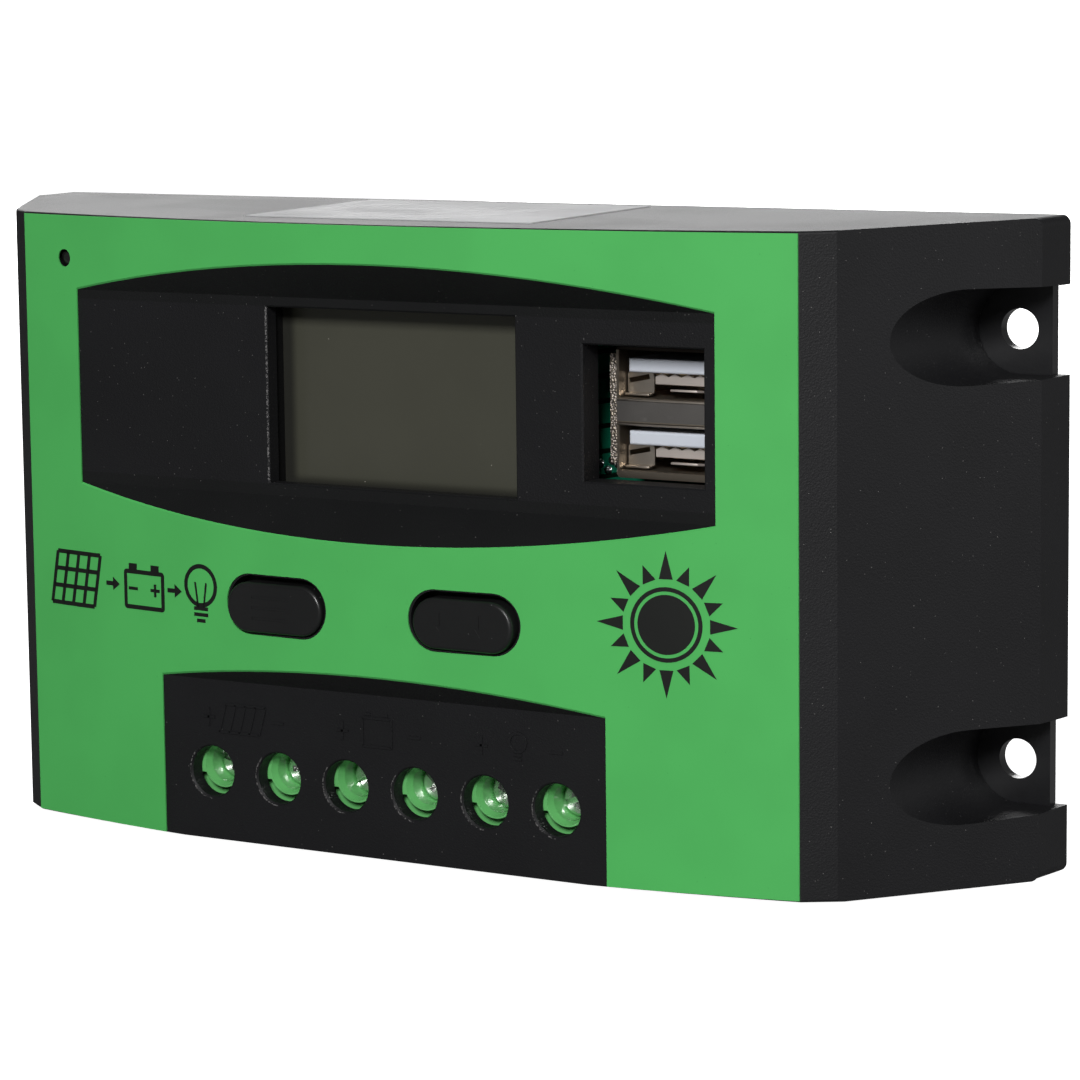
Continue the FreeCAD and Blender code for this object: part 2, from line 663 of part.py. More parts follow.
def make_lcd_frame():
    """Frame that holds the glass and the light guide, standing on four legs on the board."""
    x_out, z_out = lcd_limits(LCD_FRAME_WALL + FIT_GAP)
    x_in, z_in = lcd_limits(FIT_GAP)
    x_light, z_light = lcd_limits(-LCD_BORDER / 2)
    rear_y = LCD_GLASS_Y[1] + BACKLIGHT_DEPTH
    frame = box(x_out, (LCD_GLASS_Y[0] + LCD_FRAME_SETBACK, rear_y + LCD_FRAME_BACK), z_out)
    frame = frame.cut(box(x_in, (-FAR, rear_y), z_in)).cut(box(x_light, (-FAR, 0), z_light))
    legs = []
    for x in (x_out[0] + LCD_LEG_RADIUS, x_out[1] - LCD_LEG_RADIUS):
        for z in (z_out[0] + LCD_LEG_RADIUS, z_out[1] - LCD_LEG_RADIUS):
            legs.append(rod(LCD_LEG_RADIUS, x, z, (rear_y, BOARD_FRONT_Y)))
    return joined([frame] + legs)


def make_lcd_pins():
    """Row of contact pins from the glass ledge down to the board."""
    z = LCD_WINDOW_Z[1] + LCD_BORDER + LCD_FRAME_WALL + LCD_PIN_OFFSET
    centre = sum(LCD_WINDOW_X) / 2
    half_x, half_z = (size / 2 for size in LCD_PIN_SECTION)
    pin_y = (LCD_GLASS_Y[1] + 1, BOARD_REAR_Y + PIN_STICKS_OUT)
    pins = []
    for n in range(LCD_PINS):
        x = centre + (n - (LCD_PINS - 1) / 2) * PIN_PITCH
        pins.append(box(around(x, half_x), pin_y, around(z, half_z)))
    return group(pins)


def make_usb_shell():
    """Folded metal shell of the double USB socket: two ports, the bridge between and a side plate."""
    body = box(USB_SHELL_X, (USB_FRONT_Y, BOARD_FRONT_Y), USB_SHELL_Z)
    body = body.makeFillet(USB_CORNER_RADIUS, [edge for edge in body.Edges if edge.BoundBox.YLength > 1])
    for n in range(USB_PORTS):
        top = USB_SHELL_Z[1] - USB_SHEET - n * USB_PORT_PITCH
        x_range = (USB_SHELL_X[0] + USB_SHEET, USB_SHELL_X[1] - USB_SHEET)
        body = body.cut(box(x_range, (-FAR, USB_PORT_END_Y), (top - USB_PORT_HEIGHT, top)))
    plate_x = (USB_SHELL_X[0] - USB_SIDE_PLATE, USB_SHELL_X[0] + 0.1)
    plate_z = around(sum(USB_SHELL_Z) / 2 + USB_SIDE_PLATE_RISE, USB_SIDE_PLATE_HALF_HEIGHT)
    return joined([body, box(plate_x, (USB_FRONT_Y + 0.1, BOARD_FRONT_Y), plate_z)])


def usb_tongue_limits(n):
    """Limits of one port's tongue: X, then Z."""
    top = USB_SHELL_Z[1] - USB_TONGUE_DROP - n * USB_PORT_PITCH
    x_range = (USB_SHELL_X[0] + USB_TONGUE_SIDE, USB_SHELL_X[1] - USB_TONGUE_SIDE)
    return x_range, (top - USB_TONGUE_THICKNESS, top)


def make_usb_tongues():
    """White plastic tongues that carry the contacts, one in each port."""
    tongues = []
    for n in range(USB_PORTS):
        x_range, z_range = usb_tongue_limits(n)
        tongue = box(x_range, (USB_FRONT_Y + USB_TONGUE_SETBACK, USB_PORT_END_Y), z_range)
        front_edges = edges_in(tongue, y_range=(-FAR, USB_FRONT_Y + USB_TONGUE_SETBACK + 0.1))
        tongues.append(tongue.makeFillet(USB_TONGUE_EASE, front_edges))
    return group(tongues)


def make_usb_contacts():
    """Four contact strips under each tongue."""
    strips = []
    strip_y = (USB_FRONT_Y + USB_STRIP_SETBACK, USB_PORT_END_Y)
    for n in range(USB_PORTS):
        x_range, z_range = usb_tongue_limits(n)
        for k in range(USB_PINS):
            x = sum(x_range) / 2 + (k - (USB_PINS - 1) / 2) * PIN_PITCH
            strip_z = (z_range[0] - USB_STRIP_THICKNESS, z_range[0])
            strips.append(box(around(x, USB_PIN_WIDTH / 2), strip_y, strip_z))
    return group(strips)


def make_status_light():
    """Round charging light on two legs, its dome inside the small hole of the face."""
    dome_y = bow_y(LED_X) + LIGHT_SETBACK
    body = rod(LED_RADIUS, LED_X, LED_Z, (dome_y, dome_y + LED_LENGTH))
    body = body.makeFillet(LED_DOME_RADIUS, edges_in(body, y_range=(dome_y - 0.1, dome_y + 0.1)))
    leg_y = (dome_y + LED_LENGTH - 0.3, BOARD_REAR_Y + PIN_STICKS_OUT)
    legs = []
    for side in (-1, 1):
        leg_x = around(LED_X + side * PIN_PITCH / 2, LED_LEG_HALF)
        legs.append(box(leg_x, leg_y, around(LED_Z, LED_LEG_HALF)))
    return joined([body] + legs)


def board_outline(half_width, half_height):
    """Board blank with round corners."""
    board = box(around(0, half_width), BOARD_Y, around(0, half_height))
    return board.makeFillet(BOARD_CORNER_RADIUS, [edge for edge in board.Edges if edge.BoundBox.YLength > 1])


def make_main_board():
    """Circuit board with corner cut-outs round the case posts and holes for its pins and screws."""
    board = board_outline(BOARD_HALF_WIDTH, BOARD_HALF_HEIGHT)
    for x_side, z_side in corners_of_four():
        room = POST_RADIUS + BOARD_POST_GAP
        post = rod(room, x_side * POST_X, z_side * POST_Z, (-FAR, 0))
        corner = box(
            sorted((x_side * POST_X, x_side * FAR)),
            (-FAR, 0),
            sorted((z_side * (POST_Z - room), z_side * FAR)),
        )
        beside = box(around(x_side * POST_X, room), (-FAR, 0), sorted((z_side * POST_Z, z_side * FAR)))
        board = board.cut(post).cut(corner).cut(beside)
    for x_side in (-1, 1):
        for z in BOSS_Z:
            board = board.cut(rod(BOARD_HOLE_RADIUS, x_side * BOSS_X, z, (-FAR, 0)))
    return board.cut(make_lcd_pins()).cut(make_status_light()).cut(make_terminal_contacts())


def make_board_screws():
    """Four small pan-head screws that hold the board to the case's bosses."""
    screws = []
    for x_side in (-1, 1):
        for z in BOSS_Z:
            x = x_side * BOSS_X
            head_y = (BOARD_REAR_Y, BOARD_REAR_Y + PAN_HEAD_HEIGHT)
            head = rod(PAN_HEAD_RADIUS, x, z, head_y)
            shank = rod(SELF_TAP_RADIUS, x, z, (BOARD_FRONT_Y - BOARD_SCREW_BITE, BOARD_REAR_Y))
            recess = cross_recess(x, z, head_y[1], PAN_RECESS_HALF)
            screws.append(joined([head, shank]).cut(recess))
    return group(screws)


def cross_recess(x, z, face_y, half_length):
    """Tool for a cross recess in a screw head whose face looks along +Y."""
    depth_y = (face_y - RECESS_DEPTH, FAR)
    level = box(around(x, half_length), depth_y, around(z, RECESS_HALF_WIDTH))
    upright = box(around(x, RECESS_HALF_WIDTH), depth_y, around(z, half_length))
    return level.fuse(upright)


def countersunk_screw(x, z, tip_y):
    """Countersunk screw driven in from the back, its head just below the back plane."""
    head_y = (-COUNTERSINK_DEPTH, -FIT_GAP)
    head = cone(SCREW_HOLE_RADIUS - FIT_GAP, COUNTERSINK_RADIUS - FIT_GAP, x, z, head_y)
    shank = rod(SELF_TAP_RADIUS, x, z, (tip_y, -COUNTERSINK_DEPTH))
    return joined([head, shank]).cut(cross_recess(x, z, head_y[1], FLAT_RECESS_HALF))


def make_case_screws():
    """Four countersunk screws through the back plate into the case's posts."""
    places = [(x_side * POST_X, z_side * POST_Z) for x_side, z_side in corners_of_four()]
    return group([countersunk_screw(x, z, CASE_SCREW_TIP_Y) for x, z in places])


def make_clamp_screws():
    """Two countersunk screws that pull the transistor clamp bar towards the back plate."""
    return group([countersunk_screw(side * CLAMP_SCREW_X, MOSFET_Z, CLAMP_SCREW_TIP_Y) for side in (-1, 1)])


def make_clamp_bar():
    """Metal bar across the transistors, tapped for its two screws."""
    bar = box(around(0, CLAMP_BAR_HALF[0]), CLAMP_BAR_Y, around(MOSFET_Z, CLAMP_BAR_HALF[1]))
    for x_side in (-1, 1):
        bar = bar.cut(rod(SELF_TAP_RADIUS, x_side * CLAMP_SCREW_X, MOSFET_Z, (-FAR, 0)))
    return bar


def make_mosfets():
    """Four power transistors, flat against the thermal pad, with their leads bent to the board."""
    rear_y = PLATE_FRONT_Y - PAD_THICKNESS
    lead_y = (rear_y - MOSFET_LEAD_DEPTH, rear_y - MOSFET_LEAD_DEPTH + MOSFET_LEAD_THICKNESS)
    bend_z = MOSFET_Z - MOSFET_LEAD_REACH
    bodies = []
    for x in MOSFET_X:
        across = around(x, MOSFET_HALF_WIDTH)
        case = box(across, (CLAMP_BAR_Y[1], rear_y), around(MOSFET_Z, MOSFET_HALF_HEIGHT))
        tab_z = (MOSFET_Z + MOSFET_HALF_HEIGHT - 0.1, MOSFET_Z + MOSFET_TAB_TOP)
        tab = box(across, (rear_y - MOSFET_TAB_THICKNESS, rear_y), tab_z)
        tab = tab.cut(rod(MOSFET_TAB_HOLE_RADIUS, x, MOSFET_Z + MOSFET_TAB_HOLE_RISE, (-FAR, 0)))
        leads = []
        for side in (-1, 0, 1):
            lead_x = around(x + side * PIN_PITCH, MOSFET_LEAD_HALF_WIDTH)
            leads.append(box(lead_x, lead_y, (bend_z, MOSFET_Z - MOSFET_HALF_HEIGHT + 0.1)))
            leads.append(box(lead_x, (BOARD_REAR_Y, lead_y[1]), (bend_z, bend_z + MOSFET_LEAD_THICKNESS)))
        bodies.append(joined([case, tab] + leads))
    return group(bodies)


def make_thermal_pad():
    """Thin insulating pad between the transistors and the back plate."""
    pad_z = (MOSFET_Z - MOSFET_HALF_HEIGHT - PAD_MARGIN, MOSFET_Z + MOSFET_TAB_TOP + PAD_MARGIN)
    pad = box(around(0, PAD_HALF_WIDTH), (PLATE_FRONT_Y - PAD_THICKNESS, PLATE_FRONT_Y), pad_z)
    for x_side in (-1, 1):
        pad = pad.cut(rod(SCREW_HOLE_RADIUS, x_side * CLAMP_SCREW_X, MOSFET_Z, (-FAR, 0)))
    return pad


def terminal_x_limits():
    """Limits of the terminal housing across all of its poles."""
    half_pole = POLE_PITCH / 2
    return (POLE_X[0] - half_pole - TERMINAL_END_WALL, POLE_X[-1] + half_pole + TERMINAL_END_WALL)


def make_terminal_housing():
    """Green terminal block: screw wells in front, wire entries below and a chamber for each cage."""
    housing = box(terminal_x_limits(), (TERMINAL_FRONT_Y, BOARD_FRONT_Y), TERMINAL_Z)
    ledge = box(around(0, FAR), (-FAR, TERMINAL_FRONT_Y + LEDGE_DROP), (-FAR, LEDGE_Z))
    for x in POLE_X:
        ledge = ledge.cut(rod(COLLAR_RADIUS, x, SCREW_Z, (-FAR, 0)))
    housing = housing.cut(ledge)
    chamber_y = (CAGE_Y[0] - CLAMP_TRAVEL - CAGE_ROOM, CAGE_Y[1] + CAGE_ROOM)
    chamber_z = (CAGE_Z[0] - CAGE_ROOM, CAGE_Z[1] + CAGE_ROOM)
    entry_half = CAGE_WIDTH / 2 - CAGE_WALL + WIRE_ENTRY_EASE
    entry_y = (CONTACT_BAR_Y[1], CAGE_Y[1] - CAGE_WALL)
    throat_radius = SCREW_HEAD_RADIUS + FIT_GAP
    for x in POLE_X:
        flare = cone(WELL_MOUTH_RADIUS, WELL_NECK_RADIUS, x, SCREW_Z, (TERMINAL_FRONT_Y, WELL_NECK_Y))
        funnel = cone(WELL_NECK_RADIUS, throat_radius, x, SCREW_Z, (WELL_NECK_Y, SCREW_HEAD_FRONT_Y))
        throat = rod(throat_radius, x, SCREW_Z, (-FAR, SCREW_HEAD_FRONT_Y + SCREW_HEAD_HEIGHT))
        neck = rod(SCREW_SHANK_RADIUS + SCREW_CLEARANCE, x, SCREW_Z, (-FAR, NECK_END_Y))
        chamber = box(around(x, CAGE_WIDTH / 2 + CAGE_ROOM), chamber_y, chamber_z)
        entry = box(around(x, entry_half), entry_y, (-FAR, CAGE_Z[0]))
        for tool in (flare, funnel, throat, neck, chamber, entry):
            housing = housing.cut(tool)
    return housing.cut(make_terminal_contacts())


def make_terminal_screw(x, turn):
    """Cross-slotted clamp screw, captive in its well, at its own turn."""
    head_y = (SCREW_HEAD_FRONT_Y, SCREW_HEAD_FRONT_Y + SCREW_HEAD_HEIGHT)
    head = rod(SCREW_HEAD_RADIUS, x, SCREW_Z, head_y)
    head = head.makeFillet(SCREW_HEAD_EASE, edges_in(head, y_range=(-FAR, SCREW_HEAD_FRONT_Y + 0.1)))
    shank = rod(SCREW_SHANK_RADIUS, x, SCREW_Z, (head_y[1], SCREW_TIP_Y))
    slot_y = (-FAR, SCREW_HEAD_FRONT_Y + SCREW_SLOT_DEPTH)
    slot = box(around(x, SCREW_HEAD_RADIUS + 1), slot_y, around(SCREW_Z, SCREW_SLOT_HALF_WIDTH))
    cross_y = (-FAR, SCREW_HEAD_FRONT_Y + SCREW_CROSS_DEPTH)
    cross = box(around(x, SCREW_SLOT_HALF_WIDTH), cross_y, around(SCREW_Z, SCREW_CROSS_HALF_LENGTH))
    recess = joined([slot, cross])
    recess.rotate(FreeCAD.Vector(x, 0, SCREW_Z), FreeCAD.Vector(0, 1, 0), turn)
    return joined([head, shank]).cut(recess)


def make_clamp_cage(x):
    """Rising cage: a square metal loop round the contact bar, tapped for its screw."""
    half = CAGE_WIDTH / 2
    loop = box(around(x, half), CAGE_Y, CAGE_Z)
    hollow = box(around(x, half - CAGE_WALL), (CAGE_Y[0] + CAGE_WALL, CAGE_Y[1] - CAGE_WALL), (-FAR, FAR))
    thread_y = (CAGE_Y[0] - 1, CAGE_Y[0] + CAGE_THREAD_DEPTH)
    thread = rod(SCREW_SHANK_RADIUS + SCREW_CLEARANCE, x, SCREW_Z, thread_y)
    return loop.cut(hollow).cut(thread)


def make_terminal_contacts():
    """Contact bars inside the cages, each with a leg soldered into the board."""
    top = TERMINAL_Z[1] - CONTACT_TOP_DROP
    half = CAGE_WIDTH / 2 - CAGE_WALL - CONTACT_GAP
    leg_y = (CONTACT_BAR_Y[0], BOARD_REAR_Y + PIN_STICKS_OUT)
    bars = []
    for x in POLE_X:
        bar = box(around(x, half), CONTACT_BAR_Y, (CAGE_Z[0] + CONTACT_GAP, top))
        leg = box(around(x, CONTACT_LEG_HALF_WIDTH), leg_y, (top - CONTACT_LEG_THICKNESS, top))
        bars.append(joined([bar, leg]))
    return group(bars)


def make_filter_capacitors():
    """Three electrolytic cans standing on the board beside the terminals and the display."""
    cans = []
    for x, z, radius, height in CAPACITORS:
        can = rod(radius, x, z, (BOARD_FRONT_Y - height, BOARD_FRONT_Y))
        cans.append(can.makeFillet(CAN_EASE, edges_in(can, y_range=(-FAR, BOARD_FRONT_Y - height + 0.1))))
    return group(cans)


def make_inductor_core():
    """Ferrite drum of the inductor in the USB supply."""
    x, z = INDUCTOR_PLACE
    top_y = BOARD_FRONT_Y - INDUCTOR_HEIGHT
    low = rod(DRUM_RADIUS, x, z, (BOARD_FRONT_Y - DRUM_FLANGE, BOARD_FRONT_Y))
    high = rod(DRUM_RADIUS, x, z, (top_y, top_y + DRUM_FLANGE))
    middle = rod(DRUM_NECK_RADIUS, x, z, (top_y, BOARD_FRONT_Y))
    return joined([low, high, middle])


def make_inductor_winding():
    """Copper winding round the drum."""
    x, z = INDUCTOR_PLACE
    ends = DRUM_FLANGE + FIT_GAP
    coil_y = (BOARD_FRONT_Y - INDUCTOR_HEIGHT + ends, BOARD_FRONT_Y - ends)
    return rod(WINDING_RADIUS, x, z, coil_y).cut(rod(DRUM_NECK_RADIUS + FIT_GAP / 2, x, z, coil_y))


def chip(x, z, size, height):
    """Moulded chip on the front face of the board."""
    y_range = (BOARD_FRONT_Y - height, BOARD_FRONT_Y)
    body = box(around(x, size[0] / 2), y_range, around(z, size[1] / 2))
    return body.makeFillet(CHIP_EASE, [edge for edge in body.Edges if edge.BoundBox.YLength > height / 2])


def make_controller_chip():
    """Square microcontroller package in the middle of the board."""
    size = (CONTROLLER_SIZE, CONTROLLER_SIZE)
    return chip(CONTROLLER_X, BUTTON_Z, size, CONTROLLER_HEIGHT)


def make_chip_legs():
    """Legs along the four sides of the microcontroller."""
    half = CONTROLLER_SIZE / 2
    y_range = (BOARD_FRONT_Y - LEG_THICKNESS, BOARD_FRONT_Y)
    legs = []
    for n in range(LEGS_PER_SIDE):
        offset = (n - (LEGS_PER_SIDE - 1) / 2) * LEG_PITCH
        for side in (-1, 1):
            reach = sorted((side * half, side * (half + LEG_LENGTH)))
            level_x = [CONTROLLER_X + value for value in reach]
            upright_z = [BUTTON_Z + value for value in reach]
            legs.append(box(level_x, y_range, around(BUTTON_Z + offset, LEG_HALF_WIDTH)))
            legs.append(box(around(CONTROLLER_X + offset, LEG_HALF_WIDTH), y_range, upright_z))
    return group(legs)


def make_power_chips():
    """Small packages of the USB buck supply, the voltage regulator and the gate driver."""
    return group([chip(x, z, size, POWER_CHIP_HEIGHT) for x, z, size in POWER_CHIPS])


def make_diodes():
    """Power diodes of the USB supply and the battery input."""
    return group([chip(x, z, DIODE_SIZE, DIODE_HEIGHT) for x, z in DIODE_PLACES])


def make_current_shunt():
    """Bent metal strip that measures the battery current, on the board's rear face."""
    rear_y = BOARD_REAR_Y + SHUNT_RISE
    strap = box(around(0, SHUNT_HALF[0]), (BOARD_REAR_Y, rear_y), around(SHUNT_Z, SHUNT_HALF[1]))
    inner_x = around(0, SHUNT_HALF[0] - SHUNT_THICKNESS)
    gap = box(inner_x, (-FAR, rear_y - SHUNT_THICKNESS), around(SHUNT_Z, FAR))
    return strap.cut(gap)


def make_small_parts():
    """Rows of chip resistors and capacitors on the board's front face."""
    parts = []
    for row, z in enumerate(SMALL_PART_ROWS):
        first_x = SMALL_PART_FIRST_X + (row % 2) * SMALL_PART_STAGGER
        for n in range(SMALL_PARTS_PER_ROW):
            parts.append(chip(first_x + n * SMALL_PART_PITCH, z, SMALL_PART_SIZE, SMALL_PART_HEIGHT))
    return group(parts)


def make_temperature_sensor():
    """Bead thermistor on the board's rear face, close to the power transistors."""
    return rod(SENSOR_RADIUS, 0.0, MOSFET_Z + SENSOR_RISE, (BOARD_REAR_Y, BOARD_REAR_Y + SENSOR_HEIGHT))


def all_nodes():
    """Every sub-part by its node name."""
    nodes = {
        "front_shell": make_front_shell(),
        "back_plate": make_back_plate(),
        "face_overlay": make_face_overlay(),
        "top_label": make_top_label(),
        "menu_button": make_button(BUTTON_X["menu"], menu_marks(BUTTON_X["menu"])),
        "select_button": make_button(BUTTON_X["select"], select_marks(BUTTON_X["select"])),
        "menu_switch_plunger": make_switch_plunger(BUTTON_X["menu"]),
        "select_switch_plunger": make_switch_plunger(BUTTON_X["select"]),
        "switch_bodies": make_switch_bodies(),
        "switch_covers": make_switch_covers(),
        "lcd_glass": make_lcd_glass(),
        "lcd_backlight": make_lcd_backlight(),
        "lcd_frame": make_lcd_frame(),
        "lcd_pins": make_lcd_pins(),
        "usb_shell": make_usb_shell(),
        "usb_tongues": make_usb_tongues(),
        "usb_contacts": make_usb_contacts(),
        "status_light": make_status_light(),
        "main_board": make_main_board(),
        "board_screws": make_board_screws(),
        "case_screws": make_case_screws(),
        "clamp_bar": make_clamp_bar(),
        "clamp_bar_screws": make_clamp_screws(),
        "mosfets": make_mosfets(),
        "thermal_pad": make_thermal_pad(),
        "terminal_housing": make_terminal_housing(),
        "terminal_contacts": make_terminal_contacts(),
        "filter_capacitors": make_filter_capacitors(),
        "inductor_core": make_inductor_core(),
        "inductor_winding": make_inductor_winding(),
        "controller_chip": make_controller_chip(),
        "controller_legs": make_chip_legs(),
        "power_chips": make_power_chips(),
        "diodes": make_diodes(),
        "current_shunt": make_current_shunt(),
        "small_parts": make_small_parts(),
        "temperature_sensor": make_temperature_sensor(),
    }
    for number, x in enumerate(POLE_X, start=1):
        nodes[f"terminal_screw_{number}"] = make_terminal_screw(x, SCREW_REST_TURN[number - 1])
        nodes[f"clamp_cage_{number}"] = make_clamp_cage(x)
    return nodes


os.makedirs("parts", exist_ok=True)
for name, shape in all_nodes().items():
    shape.exportStep(f"parts/{name}.step")
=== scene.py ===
"""Looks of a wall-mounted solar charge controller, built round its CAD frame."""
import logging
import math
from contextlib import contextmanager
from dataclasses import dataclass
from enum import Enum
from functools import cached_property
from typing import Callable, Iterator, Optional, Sequence

import bmesh
import bpy
from mathutils import Matrix, Vector


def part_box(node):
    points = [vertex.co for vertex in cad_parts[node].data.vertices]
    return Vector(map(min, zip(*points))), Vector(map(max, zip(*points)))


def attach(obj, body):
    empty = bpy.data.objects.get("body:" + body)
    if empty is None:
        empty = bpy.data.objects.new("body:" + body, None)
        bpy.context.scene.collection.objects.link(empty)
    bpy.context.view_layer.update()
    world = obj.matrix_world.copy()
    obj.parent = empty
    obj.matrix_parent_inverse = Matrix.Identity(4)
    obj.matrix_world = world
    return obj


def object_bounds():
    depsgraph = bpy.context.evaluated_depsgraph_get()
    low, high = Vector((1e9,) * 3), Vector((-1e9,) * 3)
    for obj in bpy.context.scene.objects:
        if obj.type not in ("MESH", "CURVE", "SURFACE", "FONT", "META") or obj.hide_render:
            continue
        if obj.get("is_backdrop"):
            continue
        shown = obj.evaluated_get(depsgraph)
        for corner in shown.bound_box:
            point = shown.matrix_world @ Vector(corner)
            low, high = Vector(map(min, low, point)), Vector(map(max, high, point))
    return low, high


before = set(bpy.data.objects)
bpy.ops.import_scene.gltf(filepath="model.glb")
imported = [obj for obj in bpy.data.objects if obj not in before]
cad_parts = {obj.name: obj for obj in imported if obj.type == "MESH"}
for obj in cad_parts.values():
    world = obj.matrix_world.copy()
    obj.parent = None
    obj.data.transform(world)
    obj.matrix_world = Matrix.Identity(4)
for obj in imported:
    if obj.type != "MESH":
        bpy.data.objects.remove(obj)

LOG = logging.getLogger("charge_controller")
MM = 0.001
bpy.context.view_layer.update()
CASE = "case"
STRIP = 1.2  # mm; a print is cut this often across, so that it follows the bow

Piece = bpy.types.Object
Socket = bpy.types.NodeSocket
Material = bpy.types.Material
Colour = tuple[float, float, float]
Point = tuple[float, float, float]
Flat = tuple[float, float]
Range = tuple[float, float]


# ---------------------------------------------------------------- shader groups
class NodeGraph:
    """A node tree with short calls to add nodes and links."""

    def __init__(self, tree: bpy.types.NodeTree) -> None:
        """Keep the node tree of a material, a world or a group."""
        self.tree = tree

    @cached_property
    def place(self) -> Socket:
        """The object coordinates."""
        return self.add("TexCoord").outputs["Object"]

    @cached_property
    def axes(self) -> tuple[Socket, Socket, Socket]:
        """The place across, in depth and in height."""
        return tuple(self.add("SeparateXYZ", Vector=self.place).outputs)

    def feed(self, into: Socket, value: object) -> None:
        """Give an input its value.

        Args:
            into: the input socket.
            value: an output socket to link, or a number, a vector or a colour.
        """
        if isinstance(value, Socket):
            self.tree.links.new(value, into)
        elif into.type == "RGBA":
            into.default_value = (*value, 1.0)
        else:
            into.default_value = value

    def add(self, kind: str, **values: object) -> bpy.types.Node:
        """Add a node and set its properties and inputs.

        Args:
            kind: the shader node's type name, without its prefix.
            values: a property's or an input's name, with underscores for spaces, and its value.

        Returns:
            The new node.
        """
        node = self.tree.nodes.new("ShaderNode" + kind)
        for key, value in values.items():
            if hasattr(node, key):
                setattr(node, key, value)
            else:
                self.feed(node.inputs[key.replace("_", " ")], value)
        return node

    def math(self, operation: str, *values: object) -> Socket:
        """Add Math nodes that combine values in turn.

        Args:
            operation: the operation's name.
            values: sockets or numbers, one or more.

        Returns:
            The result's socket.
        """
        result = values[0]
        for value in values[1:] or (0.0,):
            node = self.add("Math", operation=operation)
            self.feed(node.inputs[0], result)
            self.feed(node.inputs[1], value)
            result = node.outputs[0]
        return result

    def mix(self, factor: object, first: object, second: object) -> Socket:
        """Add a colour Mix node.

        Args:
            factor: a socket or a number.
            first: the colour, or its socket, at factor 0.
            second: the colour, or its socket, at factor 1.

        Returns:
            The mixed colour's socket.
        """
        node = self.add("Mix", data_type="RGBA")
        colours = [socket for socket in node.inputs if socket.type == "RGBA"]
        for socket, value in zip([node.inputs[0], *colours], (factor, first, second)):
            self.feed(socket, value)
        return next(socket for socket in node.outputs if socket.type == "RGBA")

    def step(self, value: Socket, low: float, high: float) -> Socket:
        """Map a value from between two limits to 0 to 1, smoothly.

        Args:
            value: the socket to map.
            low: the value that gives 0.
            high: the value that gives 1.

        Returns:
            The mapped value's socket.
        """
        node = self.add("MapRange", interpolation_type="SMOOTHSTEP", clamp=True)
        for socket, given in zip(node.inputs, (value, low, high)):
            self.feed(socket, given)
        return node.outputs[0]

    def near(self, value: Socket, middle: float, reach: float) -> Socket:
        """Mask where a length lies within a reach of a middle, both in millimetres."""
        away = self.math("ABSOLUTE", self.math("SUBTRACT", value, middle * MM))
        return self.math("LESS_THAN", away, reach * MM)


class Effect(Enum):
    """The shared surface effects, by the name of their node group."""

    GRAIN = "moulded_grain"
    GLINTS = "fine_glints"
    WEAR = "edge_and_handling_marks"


class EffectGraph(NodeGraph):
    """The graph of a node group with named inputs and outputs."""

    def __init__(self, effect: Effect, inputs: dict[str, float], outputs: Sequence[str]) -> None:
        """Start the group.

        Args:
            effect: which effect the group makes.
            inputs: each number input's name and usual value; a Vector input is always added.
            outputs: each output's name.
        """
        super().__init__(bpy.data.node_groups.new(effect.value, "ShaderNodeTree"))
        sockets = self.tree.interface
        sockets.new_socket("Vector", in_out="INPUT", socket_type="NodeSocketVector")
        for name, value in inputs.items():
            sockets.new_socket(name, in_out="INPUT", socket_type="NodeSocketFloat").default_value = value
        for name in outputs:
            sockets.new_socket(name, in_out="OUTPUT", socket_type="NodeSocketFloat")
        self.given = self.tree.nodes.new("NodeGroupInput")
        self.out = self.tree.nodes.new("NodeGroupOutput")

    def texture(self, kind: str, scale: str = "Scale", vector: Optional[Socket] = None,
                **values: float) -> bpy.types.Node:
        """Add a texture at one of the group's scales, read at the group's Vector or at another one."""
        where = vector or self.given.outputs["Vector"]
        return self.add("Tex" + kind, Vector=where, Scale=self.given.outputs[scale], **values)

    def put(self, name: str, value: Socket) -> None:
        """Link a socket to an output of the group."""
        self.feed(self.out.inputs[name], value)


